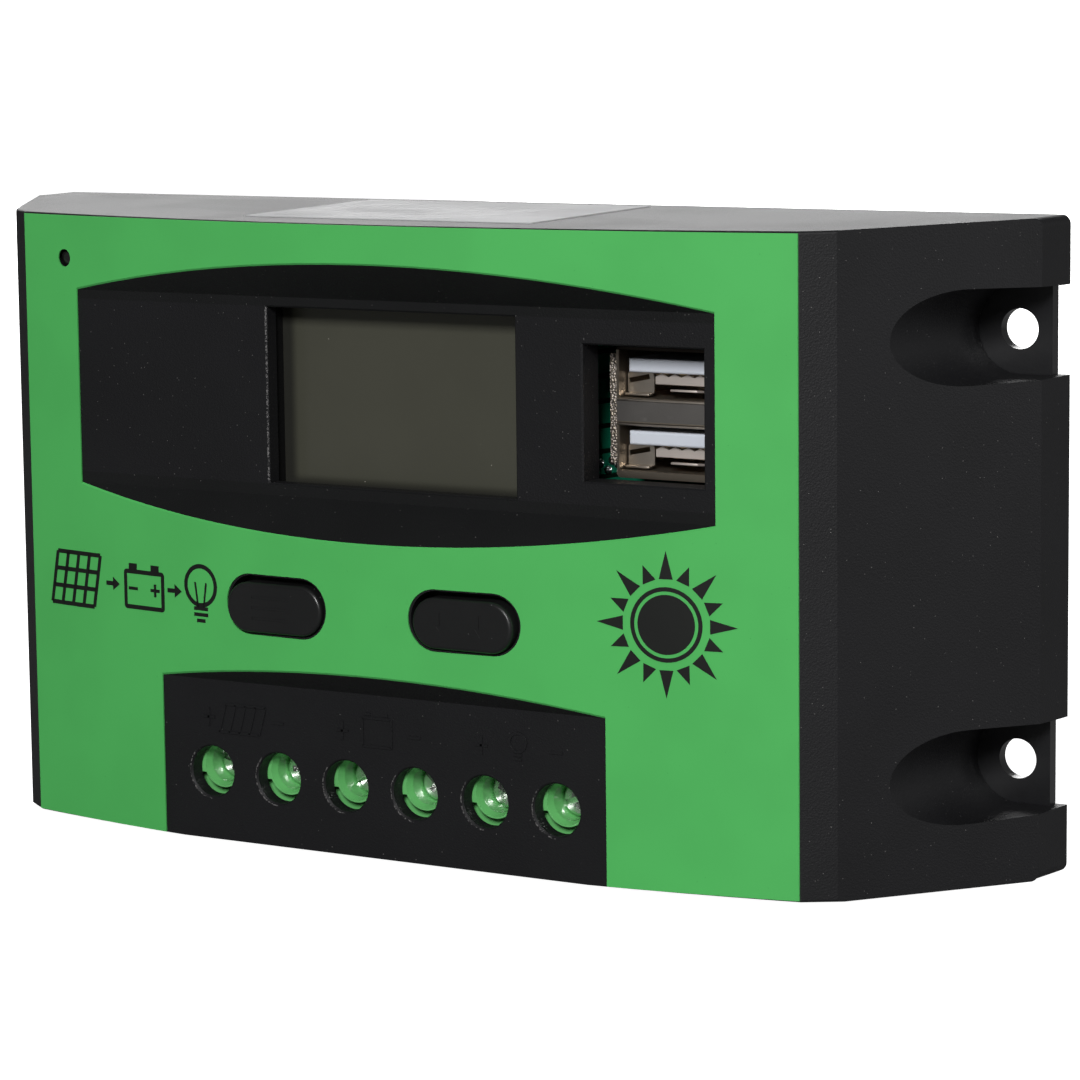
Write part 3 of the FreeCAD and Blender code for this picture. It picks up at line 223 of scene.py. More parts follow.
class EffectLibrary:
    """Builds each shared surface effect once, as a node group."""

    def __init__(self) -> None:
        """Build all of the groups."""
        self.groups = {Effect.GRAIN: self.grain(), Effect.GLINTS: self.specks_and_glints(), Effect.WEAR: self.wear()}

    @staticmethod
    def grain() -> bpy.types.NodeTree:
        """Build the spark-eroded grain of a mould: a height and a slow mottling.

        Returns:
            The node group.
        """
        graph = EffectGraph(Effect.GRAIN, {"Scale": 2500.0, "Mottle Scale": 90.0}, ("Height", "Mottle"))
        fine = graph.texture("Noise", Detail=3.0, Roughness=0.65)
        cells = graph.texture("Voronoi")
        pits = graph.math("MULTIPLY", cells.outputs["Distance"], 0.6)
        graph.put("Height", graph.math("ADD", fine.outputs[0], pits))
        slow = graph.texture("Noise", "Mottle Scale", Detail=2.0)
        graph.put("Mottle", graph.step(slow.outputs[0], 0.35, 0.68))
        return graph.tree

    @staticmethod
    def specks_and_glints() -> bpy.types.NodeTree:
        """Build a mask of sparse specks, which each finish colours: painted highlights on the case, bright specks
        on the buttons and the display, dark specks in the green film.

        Returns:
            The node group.
        """
        graph = EffectGraph(Effect.GLINTS, {"Scale": 4000.0, "Amount": 0.02}, ("Mask",))
        cells = graph.texture("Voronoi")
        apart = graph.add("SeparateColor", Color=cells.outputs["Color"])
        chosen = graph.math("LESS_THAN", apart.outputs[0], graph.given.outputs["Amount"])
        spot = graph.math("SUBTRACT", 1.0, graph.step(cells.outputs["Distance"], 0.12, 0.3))
        graph.put("Mask", graph.math("MULTIPLY", chosen, spot, apart.outputs[1]))
        return graph.tree

    @staticmethod
    def wear() -> bpy.types.NodeTree:
        """Build handling marks: soft smudges and fine straight scratches.

        Returns:
            The node group.
        """
        graph = EffectGraph(Effect.WEAR, {"Scale": 60.0}, ("Smudge", "Scratch"))
        cloud = graph.texture("Noise", Detail=4.0, Distortion=0.6)
        graph.put("Smudge", graph.step(cloud.outputs[0], 0.4, 0.7))
        drawn_out = graph.add("Mapping", Vector=graph.given.outputs["Vector"], Rotation=(0.3, 0.5, 0.9),
                              Scale=(40.0, 1.5, 40.0))
        lines = graph.texture("Noise", vector=drawn_out.outputs[0], Detail=2.0)
        graph.put("Scratch", graph.step(lines.outputs[0], 0.66, 0.74))
        return graph.tree

    def placed(self, graph: NodeGraph, which: Effect, **values: float) -> bpy.types.Node:
        """Place a shared effect in a material, with its values by input name."""
        return graph.add("Group", node_tree=self.groups[which], Vector=graph.place, **values)


# ---------------------------------------------------------------- finishes
def blank_material(name: str) -> tuple[Material, NodeGraph]:
    """Start a material with no nodes.

    Args:
        name: its name.

    Returns:
        The material and its graph.
    """
    material = bpy.data.materials.new(name)
    material.use_nodes = True
    material.node_tree.nodes.clear()
    return material, NodeGraph(material.node_tree)


@dataclass(frozen=True)
class Finish:
    """A surface finish: its colour, gloss and the strength of the shared effects on it."""

    name: str
    colour: Colour
    roughness: float
    metallic: float = 0.0
    specular: float = 0.5
    coat: float = 0.0
    grain_scale: float = 2500.0
    grain_depth: float = 0.0
    mottle: float = 0.12
    specks_and_glints: float = 0.0
    speck_and_glint_colour: Colour = (0.35, 0.34, 0.32)
    smudge: float = 0.12
    scratch: float = 0.0

    def base_colour(self, graph: NodeGraph) -> object:
        """Give the colour before mottling and marks, or its socket."""
        return self.colour

    def roughness_bias(self, graph: NodeGraph) -> object:
        """Give what the finish adds to its roughness from place to place."""
        return 0.0

    def relief(self, graph: NodeGraph) -> object:
        """Give the finish's own relief, which is added to its grain."""
        return 0.0

    def build(self, effects: EffectLibrary) -> Material:
        """Build the material.

        Args:
            effects: the shared effects.

        Returns:
            The material.
        """
        material, graph = blank_material(self.name)
        grain = effects.placed(graph, Effect.GRAIN, Scale=self.grain_scale)
        marks = effects.placed(graph, Effect.WEAR)
        base = self.base_colour(graph)
        dim = graph.add("HueSaturation", Value=1.0 - self.mottle, Color=base)
        colour = graph.mix(grain.outputs["Mottle"], base, dim.outputs[0])
        # sparse specks in each finish's speck colour; on the case they are painted highlights
        if self.specks_and_glints > 0:
            specks = effects.placed(graph, Effect.GLINTS, Amount=self.specks_and_glints)
            colour = graph.mix(specks.outputs["Mask"], colour, self.speck_and_glint_colour)
        smudged = graph.math("MULTIPLY", marks.outputs["Smudge"], self.smudge)
        scratched = graph.math("MULTIPLY", marks.outputs["Scratch"], self.scratch)
        height = graph.math("MULTIPLY", grain.outputs["Height"], self.grain_depth)
        bump = graph.add("Bump", Strength=1.0, Distance=MM, Height=graph.math("ADD", height, self.relief(graph)))
        shader = graph.add(
            "BsdfPrincipled", Base_Color=colour, Metallic=self.metallic, Specular_IOR_Level=self.specular,
            Roughness=graph.math("ADD", self.roughness, self.roughness_bias(graph), smudged, scratched),
            Coat_Weight=self.coat, Normal=bump.outputs[0])
        graph.add("OutputMaterial", Surface=shader.outputs[0])
        return material


@dataclass(frozen=True)
class CaseFinish(Finish):
    """Moulded black plastic: grained; polished on the bands' slopes, with a painted shade colour mixed in there;
    painted highlights on the display window's left edge and the screw holes' lower left edges.
    """

    # painted shade: the colour mixed in on the bands' slopes
    slope_shade_colour: Colour = (0.008, 0.008, 0.009)
    slope_polish: float = -0.12
    slope_front: float = -30.0
    slopes_at: tuple[tuple[float, Range], ...] = (
        (45.9, (27.9, 35.0)), (45.9, (-0.5, 6.2)), (32.3, (-18.3, -14.5)),
    )
    # painted highlights: the colour of bright dots along the display window's left edge and the screw holes' lower
    # left edges
    rim_highlight_colour: Colour = (0.13, 0.125, 0.125)
    rim_front: float = -33.9
    rim_highlight_scale: float = 5200.0
    window_left: float = -16.95
    window_rim: float = 0.09
    window_middle: float = 17.05
    window_half: float = 10.7
    first_pole: float = -24.8
    pole_pitch: float = 10.0
    pole_height: float = -29.9
    poles_middle: float = 0.2
    poles_half: float = 29.5
    hole_radius: float = 3.42
    hole_rim: float = 0.08
    hole_lean: Flat = (0.4, -1.6)

    def slopes(self, graph: NodeGraph) -> Socket:
        """Mask the sloped walls above and below the display and above the terminals.

        Args:
            graph: the material's graph.

        Returns:
            The mask's socket.
        """
        across, depth, height = graph.axes
        bands = [graph.math("MULTIPLY", graph.near(across, 0.0, half_width),
                            graph.near(height, (low + high) / 2, (high - low) / 2))
                 for half_width, (low, high) in self.slopes_at]
        front = graph.math("LESS_THAN", depth, self.slope_front * MM)
        return graph.math("MULTIPLY", graph.math("ADD", *bands), front)

    def rim_highlights(self, graph: NodeGraph) -> Socket:
        """Mask where painted highlights go: the left edge of the display window and the lower left edges of the
        screw holes.

        Args:
            graph: the material's graph.

        Returns:
            The mask's socket.
        """
        across, depth, height = graph.axes
        window = graph.math("MULTIPLY", graph.near(across, self.window_left, self.window_rim),
                            graph.near(height, self.window_middle, self.window_half))
        pitch = self.pole_pitch * MM
        shifted = graph.math("ADD", across, pitch * 10.5 - self.first_pole * MM)
        off_pole = graph.math("SUBTRACT", graph.math("MODULO", shifted, pitch), pitch / 2)
        rise = graph.math("SUBTRACT", height, self.pole_height * MM)
        squares = graph.math("ADD", graph.math("MULTIPLY", off_pole, off_pole), graph.math("MULTIPLY", rise, rise))
        tilt, limit = self.hole_lean
        lean = graph.math("ADD", off_pole, graph.math("MULTIPLY", rise, tilt))
        hole = graph.math("MULTIPLY", graph.near(graph.math("SQRT", squares), self.hole_radius, self.hole_rim),
                          graph.math("LESS_THAN", lean, limit * MM),
                          graph.near(across, self.poles_middle, self.poles_half))
        front = graph.math("LESS_THAN", depth, self.rim_front * MM)
        return graph.math("MULTIPLY", graph.math("ADD", window, hole), front)

    def base_colour(self, graph: NodeGraph) -> Socket:
        """Paint shade on the slopes and dots of painted highlight along the display window's left edge and the
        screw holes' lower left edges.

        Args:
            graph: the material's graph.

        Returns:
            The colour's socket.
        """
        # painted shade: the slopes take the slope shade colour
        base = graph.mix(self.slopes(graph), self.colour, self.slope_shade_colour)
        cells = graph.add("TexVoronoi", Scale=self.rim_highlight_scale, Vector=graph.place)
        apart = graph.add("SeparateColor", Color=cells.outputs["Color"])
        # painted highlights: bright dots along those edges
        rim_highlight_dots = graph.math("MULTIPLY", self.rim_highlights(graph), graph.step(apart.outputs[0], 0.35, 0.9))
        return graph.mix(rim_highlight_dots, base, self.rim_highlight_colour)

    def roughness_bias(self, graph: NodeGraph) -> Socket:
        """Polish the slopes."""
        return graph.math("MULTIPLY", self.slopes(graph), self.slope_polish)


@dataclass(frozen=True)
class BoardFinish(Finish):
    """Green solder mask over copper tracks."""

    track_colour: Colour = (0.006, 0.22, 0.12)
    gap_colour: Colour = (0.0015, 0.012, 0.006)
    track_height: float = 0.04
    slant: Point = (0.0, 0.2, 0.0)

    def stripes(self, graph: NodeGraph) -> Socket:
        """Mask bands that run as bundles of tracks do.

        Args:
            graph: the material's graph.

        Returns:
            The mask's socket.
        """
        slant = graph.add("Mapping", Vector=graph.place, Rotation=self.slant)
        waves = graph.add("TexWave", wave_type="BANDS", bands_direction="Z", Scale=105.0, Distortion=0.8,
                          Detail=1.0, Vector=slant.outputs[0])
        return graph.step(waves.outputs["Fac"], 0.06, 0.12)

    def base_colour(self, graph: NodeGraph) -> Socket:
        """Show tracks lighter than the gaps between them."""
        return graph.mix(self.stripes(graph), self.gap_colour, self.track_colour)

    def relief(self, graph: NodeGraph) -> Socket:
        """Raise the tracks a little."""
        return graph.math("MULTIPLY", self.stripes(graph), self.track_height)


@dataclass(frozen=True)
class StripedFinish(Finish):
    """Metal with parallel tool marks along one axis, such as a blanked edge or a brushed sheet."""

    stretch: Point = (1.0, 1.0, 1.0)
    stripe_scale: float = 3000.0
    stripe_depth: float = 0.1
    dark: Colour = (0.2, 0.18, 0.16)

    def marks(self, graph: NodeGraph) -> Socket:
        """Mask noise that is drawn out along the axis.

        Args:
            graph: the material's graph.

        Returns:
            The mask's socket.
        """
        mapping = graph.add("Mapping", Vector=graph.place, Scale=self.stretch)
        noise = graph.add("TexNoise", Vector=mapping.outputs[0], Scale=self.stripe_scale, Detail=2.0)
        return graph.step(noise.outputs[0], 0.35, 0.65)

    def base_colour(self, graph: NodeGraph) -> Socket:
        """Darken the bottoms of the marks."""
        return graph.mix(self.marks(graph), self.dark, self.colour)

    def relief(self, graph: NodeGraph) -> Socket:
        """Sink the marks."""
        return graph.math("MULTIPLY", self.marks(graph), self.stripe_depth)


@dataclass(frozen=True)
class DisplayFinish(Finish):
    """Unlit display cell, darker towards the edges of its window, with painted shade from the window's walls."""

    # painted shade: the colour the cell fades to near its window's edges
    edge_shade_colour: Colour = (0.02, 0.02, 0.017)
    middle: Flat = (1.45, 17.45)
    half: Flat = (17.3, 11.1)
    fade: Range = (-0.54, 0.9)

    def base_colour(self, graph: NodeGraph) -> Socket:
        """Fade to the painted shade colour near each side.

        Args:
            graph: the material's graph.

        Returns:
            The colour's socket.
        """
        low, high = self.fade
        inside = []
        for axis, middle, half in zip(graph.axes[::2], self.middle, self.half):
            away = graph.math("ABSOLUTE", graph.math("SUBTRACT", axis, middle * MM))
            inside.append(graph.step(graph.math("SUBTRACT", half * MM, away), low * MM, high * MM))
        return graph.mix(graph.math("MULTIPLY", *inside), self.edge_shade_colour, self.colour)


@dataclass(frozen=True)
class SocketShellFinish(Finish):
    """Nickel-plated socket shell: a blanked, crystalline edge on its side plate, a brushed bridge, and painted
    shade on its top lip.
    """

    edge_colour: Colour = (0.62, 0.56, 0.52)
    bridge_colour: Colour = (0.2, 0.19, 0.18)
    edge_limit: float = 29.93
    front_limit: float = -29.2
    bridge: Range = (15.7, 18.25)
    roof_shade: float = 24.02
    # painted shade: the dark colour of the socket's top lip
    roof_shade_colour: Colour = (0.03, 0.026, 0.022)
    crystal_scale: float = 3400.0
    crystal_height: float = 0.3
    edge_roughness: float = 0.16

    def zones(self, graph: NodeGraph) -> tuple[Socket, Socket]:
        """Mask the side plate's front edge and the bridge's face.

        Args:
            graph: the material's graph.

        Returns:
            The sockets of the edge's mask and of the bridge's.
        """
        across, depth, height = graph.axes
        low, high = self.bridge
        front = graph.math("LESS_THAN", depth, self.front_limit * MM)
        edge = graph.math("MULTIPLY", front, graph.math("LESS_THAN", across, self.edge_limit * MM))
        bridge = graph.math("MULTIPLY", graph.near(height, (low + high) / 2, (high - low) / 2), front,
                            graph.math("SUBTRACT", 1.0, edge))
        return edge, bridge

    def crystals(self, graph: NodeGraph) -> Socket:
        """Give the torn, crystalline relief of a blanked edge."""
        return graph.add("TexVoronoi", Scale=self.crystal_scale, Vector=graph.place).outputs["Distance"]

    def base_colour(self, graph: NodeGraph) -> Socket:
        """Brighten the blanked edge, dull the bridge and paint shade on the top lip.

        Args:
            graph: the material's graph.

        Returns:
            The colour's socket.
        """
        edge, bridge = self.zones(graph)
        # painted shade on the socket's top lip, above a set height
        roof_shade = graph.math("GREATER_THAN", graph.axes[2], self.roof_shade * MM)
        colour = graph.mix(roof_shade, graph.mix(bridge, self.colour, self.bridge_colour), self.roof_shade_colour)
        speckled = graph.mix(graph.step(self.crystals(graph), 0.1, 0.75), self.edge_colour, self.colour)
        return graph.mix(edge, colour, speckled)

    def roughness_bias(self, graph: NodeGraph) -> Socket:
        """Roughen the edge and the bridge."""
        return graph.math("MULTIPLY", graph.math("ADD", *self.zones(graph)), self.edge_roughness)

    def relief(self, graph: NodeGraph) -> Socket:
        """Raise the crystals of the edge."""
        return graph.math("MULTIPLY", self.zones(graph)[0], self.crystals(graph), self.crystal_height)


FINISHES = {
    # the case: painted shade on its slopes, painted highlights on some edges and in bright specks
    "shell": CaseFinish("black_case_plastic", (0.006, 0.006, 0.007), 0.54, specular=0.28, grain_depth=0.03,
                        grain_scale=4200.0, specks_and_glints=0.02, mottle=0.15, speck_and_glint_colour=(0.16, 0.155, 0.15),
                        slope_shade_colour=(0.006, 0.0063, 0.0066), smudge=0.03),
    "plate": Finish("black_coated_plate", (0.008, 0.008, 0.009), 0.3, grain_depth=0.01, mottle=0.1, coat=0.2),
    "vinyl": Finish("green_vinyl", (0.073, 0.42, 0.1), 0.5, specular=0.22, grain_depth=0.004, grain_scale=1500.0,
                    mottle=0.05, specks_and_glints=0.006, speck_and_glint_colour=(0.03, 0.25, 0.06)),
    "ink": Finish("black_ink", (0.006, 0.007, 0.006), 0.5, specular=0.3, grain_depth=0.004, mottle=0.2),
    "label": Finish("silver_film", (0.5, 0.5, 0.51), 0.58, specular=0.15, grain_depth=0.003, mottle=0.05),
    "label_ink": Finish("grey_label_ink", (0.38, 0.38, 0.39), 0.5, mottle=0.1),
    "button": Finish("polished_black", (0.0085, 0.0088, 0.009), 0.3, specular=0.35, grain_depth=0.003, mottle=0.1,
                     specks_and_glints=0.008, speck_and_glint_colour=(0.3, 0.3, 0.3)),
    "dark": Finish("plain_black_plastic", (0.01, 0.01, 0.01), 0.5, specular=0.3, grain_depth=0.01),
    "socket": SocketShellFinish("nickel_socket_shell", (0.36, 0.31, 0.25), 0.32, metallic=1.0, grain_depth=0.004,
                                scratch=0.2),
    "spring": Finish("spring_sheet", (0.8, 0.72, 0.66), 0.3, metallic=0.75, grain_depth=0.006, scratch=0.2),
    "nickel": Finish("nickel_plate", (0.58, 0.52, 0.45), 0.28, metallic=1.0, grain_depth=0.004, scratch=0.25),
    "gold": Finish("gold_flash", (0.75, 0.55, 0.28), 0.3, metallic=1.0),
    "tongue": Finish("white_tongue", (0.56, 0.59, 0.65), 0.4, grain_depth=0.003, mottle=0.05),
    "glass": DisplayFinish("display_cell", (0.0525, 0.0525, 0.0395), 0.2, specular=0.35, mottle=0.05, smudge=0.0,
                           grain_scale=600.0, specks_and_glints=0.002, speck_and_glint_colour=(0.4, 0.38, 0.33)),
    # near-black: painted shade for the gap behind the display window
    "gasket": Finish("display_shade_frame", (0.003, 0.003, 0.003), 0.8, specular=0.15, grain_depth=0.02),
    "white": Finish("white_plastic", (0.7, 0.7, 0.7), 0.5, grain_depth=0.004),
    "lens": Finish("smoked_lens", (0.01, 0.01, 0.01), 0.1, coat=0.4),
    "board": BoardFinish("solder_mask", (0.01, 0.2, 0.08), 0.3, coat=0.3),
    "solder": Finish("solder", (0.75, 0.75, 0.76), 0.18, metallic=1.0, grain_depth=0.01),
    "screw": Finish("plated_screw", (0.8, 0.82, 0.79), 0.17, metallic=1.0, grain_depth=0.01, scratch=0.2),
    "tin": Finish("tin_plate", (0.6, 0.58, 0.52), 0.35, metallic=1.0, grain_depth=0.01),
    "aluminium": StripedFinish("sawn_aluminium", (0.8, 0.8, 0.81), 0.35, metallic=1.0, stretch=(0.05, 1.0, 1.0),
                               stripe_depth=0.03, dark=(0.6, 0.6, 0.61)),
    "terminal": Finish("terminal_green", (0.13, 0.46, 0.14), 0.2, coat=0.6, grain_depth=0.003, mottle=0.1),
    "epoxy": Finish("moulded_epoxy", (0.016, 0.016, 0.017), 0.5, grain_depth=0.02),
    "pad": Finish("silicone_pad", (0.4, 0.4, 0.42), 0.7, grain_depth=0.01),
    "sleeve": Finish("can_sleeve", (0.01, 0.02, 0.06), 0.3, coat=0.2),
    "ferrite": Finish("ferrite", (0.04, 0.04, 0.045), 0.6, grain_depth=0.05),
    "copper": StripedFinish("enamelled_wire", (0.7, 0.28, 0.12), 0.25, metallic=1.0, stretch=(0.02, 1.0, 0.02),
                            stripe_scale=1800.0, stripe_depth=0.3, dark=(0.25, 0.08, 0.03)),
    "ceramic": Finish("glazed_ceramic", (0.3, 0.22, 0.15), 0.35, mottle=0.3),
}

NODE_FINISHES = {
    "front_shell": "shell", "back_plate": "plate", "face_overlay": "vinyl", "top_label": "label",
    "menu_button": "button", "select_button": "button", "menu_switch_plunger": "dark",
    "select_switch_plunger": "dark", "switch_bodies": "dark", "switch_covers": "nickel", "lcd_glass": "glass",
    "lcd_backlight": "white", "lcd_frame": "dark", "lcd_pins": "tin", "usb_shell": "socket",
    "usb_tongues": "tongue", "usb_contacts": "gold", "status_light": "lens", "main_board": "board",
    "board_screws": "screw", "case_screws": "screw", "clamp_bar": "aluminium", "clamp_bar_screws": "screw",
    "mosfets": "epoxy", "thermal_pad": "pad", "terminal_housing": "terminal", "terminal_contacts": "tin",
    "filter_capacitors": "sleeve", "inductor_core": "ferrite", "inductor_winding": "copper",
    "controller_chip": "epoxy", "controller_legs": "tin", "power_chips": "epoxy", "diodes": "epoxy",
    "current_shunt": "tin", "small_parts": "ceramic", "temperature_sensor": "epoxy",
    **{f"terminal_screw_{pole}": "screw" for pole in range(1, 7)},
    **{f"clamp_cage_{pole}": "tin" for pole in range(1, 7)},
}


# ---------------------------------------------------------------- modelling
class Kind(Enum):
    """What an edit-mode selection is made of."""

    VERTICES = "VERT"
    EDGES = "EDGE"
    FACES = "FACE"


class Side(Enum):
    """The side of a CAD node that a thin print is laid on."""

    FRONT = "Y"
    TOP = "Z"


@dataclass(frozen=True)
class CaseForm:
    """The bowed face and the flat bands sunk into it, in millimetres."""

    face_half_width: float = 55.4
    face_edge_y: float = -32.1
    face_apex_y: float = -38.3
    terminal_band_half_width: float = 32.1
    display_band_half_width: float = 45.7
    wall: float = 2.0

    def bow_y(self, x: float) -> float:
        """Give the depth of the bowed face at a place across it.

        Args:
            x: the place, in millimetres from the middle.

        Returns:
            The depth in millimetres.
        """
        sag = self.face_edge_y - self.face_apex_y
        radius = (self.face_half_width ** 2 + sag ** 2) / (2 * sag)
        return self.face_apex_y + radius - math.sqrt(radius ** 2 - x ** 2)


class Workbench:
    """Short calls to the modelling operators; every size is in millimetres."""

    def alone(self, piece: Piece) -> None:
        """Select only this piece and make it active.

        Args:
            piece: the piece.
        """
        bpy.ops.object.select_all(action="DESELECT")
        piece.select_set(True)
        bpy.context.view_layer.objects.active = piece

    def settled(self) -> Piece:
        """Apply the place, turn and size of the primitive just added.

        Returns:
            The primitive.
        """
        piece = bpy.context.object
        self.alone(piece)
        bpy.ops.object.transform_apply(location=True, rotation=True, scale=True)
        return piece

    @contextmanager
    def editing(self, piece: Piece, kind: Kind = Kind.FACES,
                chosen: Optional[Callable[[object], bool]] = None) -> Iterator[None]:
        """Hold a piece in edit mode with some of it selected.

        Args:
            piece: the piece.
            kind: what is selected.
            chosen: says whether a vertex, edge or face is selected; all of them when left out.
        """
        self.alone(piece)
        bpy.ops.object.mode_set(mode="EDIT")
        bpy.ops.mesh.select_mode(type=kind.value)
        bpy.ops.mesh.select_all(action="DESELECT" if chosen else "SELECT")
        if chosen:
            mesh = bmesh.from_edit_mesh(piece.data)
            parts = {Kind.VERTICES: mesh.verts, Kind.EDGES: mesh.edges, Kind.FACES: mesh.faces}[kind]
            for part in parts:
                if chosen(part):
                    part.select_set(True)
            mesh.select_flush_mode()
            bmesh.update_edit_mesh(piece.data)
        yield
        bpy.ops.object.mode_set(mode="OBJECT")

    def block(self, x: Range, y: Range, z: Range, ease: float, segments: int = 2) -> Piece:
        """Make a block with eased edges.

        Args:
            x: its limits across.
            y: its limits in depth.
            z: its limits in height.
            ease: the width of the bevel on every edge.
            segments: the bevel's steps.

        Returns:
            The block.
        """
        limits = (x, y, z)
        centre = [sum(pair) / 2 * MM for pair in limits]
        size = [(pair[1] - pair[0]) * MM for pair in limits]
        bpy.ops.mesh.primitive_cube_add(size=1.0, location=centre, scale=size)
        piece = self.settled()
        with self.editing(piece, Kind.EDGES):
            bpy.ops.mesh.bevel(offset=ease * MM, segments=segments)
        return piece

    def bar(self, start: Flat, end: Flat, width: float) -> Piece:
        """Make a flat bar that faces the front.

        Args:
            start: the middle of one end, across and up.
            end: the middle of the other end.
            width: the bar's width.

        Returns:
            The bar.
        """
        run = Vector(end) - Vector(start)
        middle = (Vector(end) + Vector(start)) / 2
        turn = (math.pi / 2, -math.atan2(run.y, run.x), 0.0)
        bpy.ops.mesh.primitive_plane_add(size=1.0, location=(middle.x * MM, 0.0, middle.y * MM), rotation=turn)
        bpy.context.object.scale = (run.length * MM, width * MM, 1.0)
        return self.settled()

    def spike(self, base: Flat, tip: Flat, width: float) -> Piece:
        """Make a flat triangle that faces the front.

        Args:
            base: the middle of its base.
            tip: its point.
            width: the width of its base.

        Returns:
            The triangle.
        """
        piece = self.bar(base, tip, width)
        reach = (Vector(tip) - Vector(base)).length * MM
        point = Vector((tip[0] * MM, 0.0, tip[1] * MM))
        close = reach / 2 + width * MM / 3
        with self.editing(piece, Kind.VERTICES, lambda vertex: (vertex.co - point).length < close):
            bpy.ops.mesh.merge(type="CENTER")
        return piece

    def disc(self, centre: Flat, radius: float, corners: int = 48) -> Piece:
        """Make a flat disc that faces the front.

        Args:
            centre: its middle, across and up.
            radius: its radius.
            corners: the corners of its outline.

        Returns:
            The disc.
        """
        place = (centre[0] * MM, 0.0, centre[1] * MM)
        bpy.ops.mesh.primitive_circle_add(vertices=corners, radius=radius * MM, fill_type="NGON", location=place,
                                          rotation=(math.pi / 2, 0.0, 0.0))
        return self.settled()

    def plate(self, x: Range, z: Range, corner: float) -> Piece:
        """Make a flat plate with round corners that faces the front.

        Args:
            x: its limits across.
            z: its limits in height.
            corner: the radius of its corners.

        Returns:
            The plate.
        """
        piece = self.bar((x[0], sum(z) / 2), (x[1], sum(z) / 2), z[1] - z[0])
        with self.editing(piece, Kind.VERTICES):
            bpy.ops.mesh.bevel(offset=corner * MM, segments=4, affect="VERTICES")
        return piece

    def outline(self, piece: Piece, width: float) -> Piece:
        """Keep only a border of a flat piece.

        Args:
            piece: the flat piece, one face.
            width: the border's width.

        Returns:
            The same piece.
        """
        with self.editing(piece):
            bpy.ops.mesh.inset(thickness=width * MM)
            bpy.ops.mesh.delete(type="FACE")
        return piece

    def moved(self, piece: Piece, offset: Point) -> Piece:
        """Move the whole mesh of a piece.

        Args:
            piece: the piece.
            offset: how far along each axis, in millimetres.

        Returns:
            The same piece.
        """
        with self.editing(piece):
            bpy.ops.transform.translate(value=[value * MM for value in offset])
        return piece

    def repeated(self, piece: Piece, offsets: Sequence[Point]) -> list[Piece]:
        """Copy a piece to each offset in millimetres, and return it with its copies."""
        return [piece] + [self.moved(self.copied(piece), offset) for offset in offsets]

    def copied(self, piece: Piece) -> Piece:
        """Copy a piece with a mesh of its own.

        Args:
            piece: the piece.

        Returns:
            The copy.
        """
        twin = piece.copy()
        twin.data = piece.data.copy()
        bpy.context.collection.objects.link(twin)
        return twin

    def ringed(self, piece: Piece, centre: Flat, count: int) -> list[Piece]:
        """Copy a flat piece round a centre, each copy with a mesh of its own.

        Args:
            piece: the piece.
            centre: the middle of the ring, across and up.
            count: how many there are, with the piece itself.

        Returns:
            The piece and its copies.
        """
        pivot = (centre[0] * MM, 0.0, centre[1] * MM)
        pieces = [piece]
        for n in range(1, count):
            twin = self.copied(piece)
            with self.editing(twin):
                bpy.ops.transform.rotate(value=math.tau * n / count, orient_axis="Y", orient_type="GLOBAL",
                                         center_override=pivot)
            pieces.append(twin)
        return pieces

    def leaning_grid(self, x: Range, z: Range, lean: float, rows: int, line: float) -> list[Piece]:
        """Make the grid of a solar panel, with five uprights that lean to the right.

        Args:
            x: its foot's limits across.
            z: its limits in height.
            lean: how far its top stands to the right of its foot.
            rows: how many level bars it has.
            line: the bars' width.

        Returns:
            Its flat bars.
        """
        (left, right), (low, high) = x, z
        shares = [n / (rows - 1) for n in range(1, rows)]
        levels = [(lean * share, 0.0, (high - low) * share) for share in shares]
        uprights = [((right - left) * n / 4, 0.0, 0.0) for n in range(1, 5)]
        bars = self.repeated(self.bar((left, low), (right, low), line), levels)
        return bars + self.repeated(self.bar((left, low), (left + lean, high), line), uprights)

    def joined(self, pieces: Sequence[Piece]) -> Piece:
        """Join pieces into the first of them.

        Args:
            pieces: the pieces.

        Returns:
            The first piece, which now holds them all.
        """
        self.alone(pieces[0])
        for piece in pieces[1:]:
            piece.select_set(True)
        if len(pieces) > 1:
            bpy.ops.object.join()
        return pieces[0]

    def applied(self, piece: Piece, kind: str, **values: object) -> Piece:
        """Add a modifier with its values and apply it.

        Args:
            piece: the piece.
            kind: the modifier's type.
            values: its settings.

        Returns:
            The same piece.
        """
        self.alone(piece)
        modifier = piece.modifiers.new(kind.lower(), kind)
        for name, value in values.items():
            setattr(modifier, name, value)
        bpy.ops.object.modifier_apply(modifier=modifier.name)
        return piece

    def raised(self, piece: Piece, y: float, height: float, ease: float) -> Piece:
        """Make a flat piece a raised one with eased edges, on a plane that faces the front.

        Args:
            piece: the flat piece.
            y: the plane's depth.
            height: how far it stands out of the plane.
            ease: the bevel's width.

        Returns:
            The same piece.
        """
        self.moved(piece, (0.0, y, 0.0))
        self.applied(piece, "SOLIDIFY", thickness=height * MM, offset=1.0)
        return self.applied(piece, "BEVEL", width=ease * MM, segments=1, angle_limit=math.radians(40))

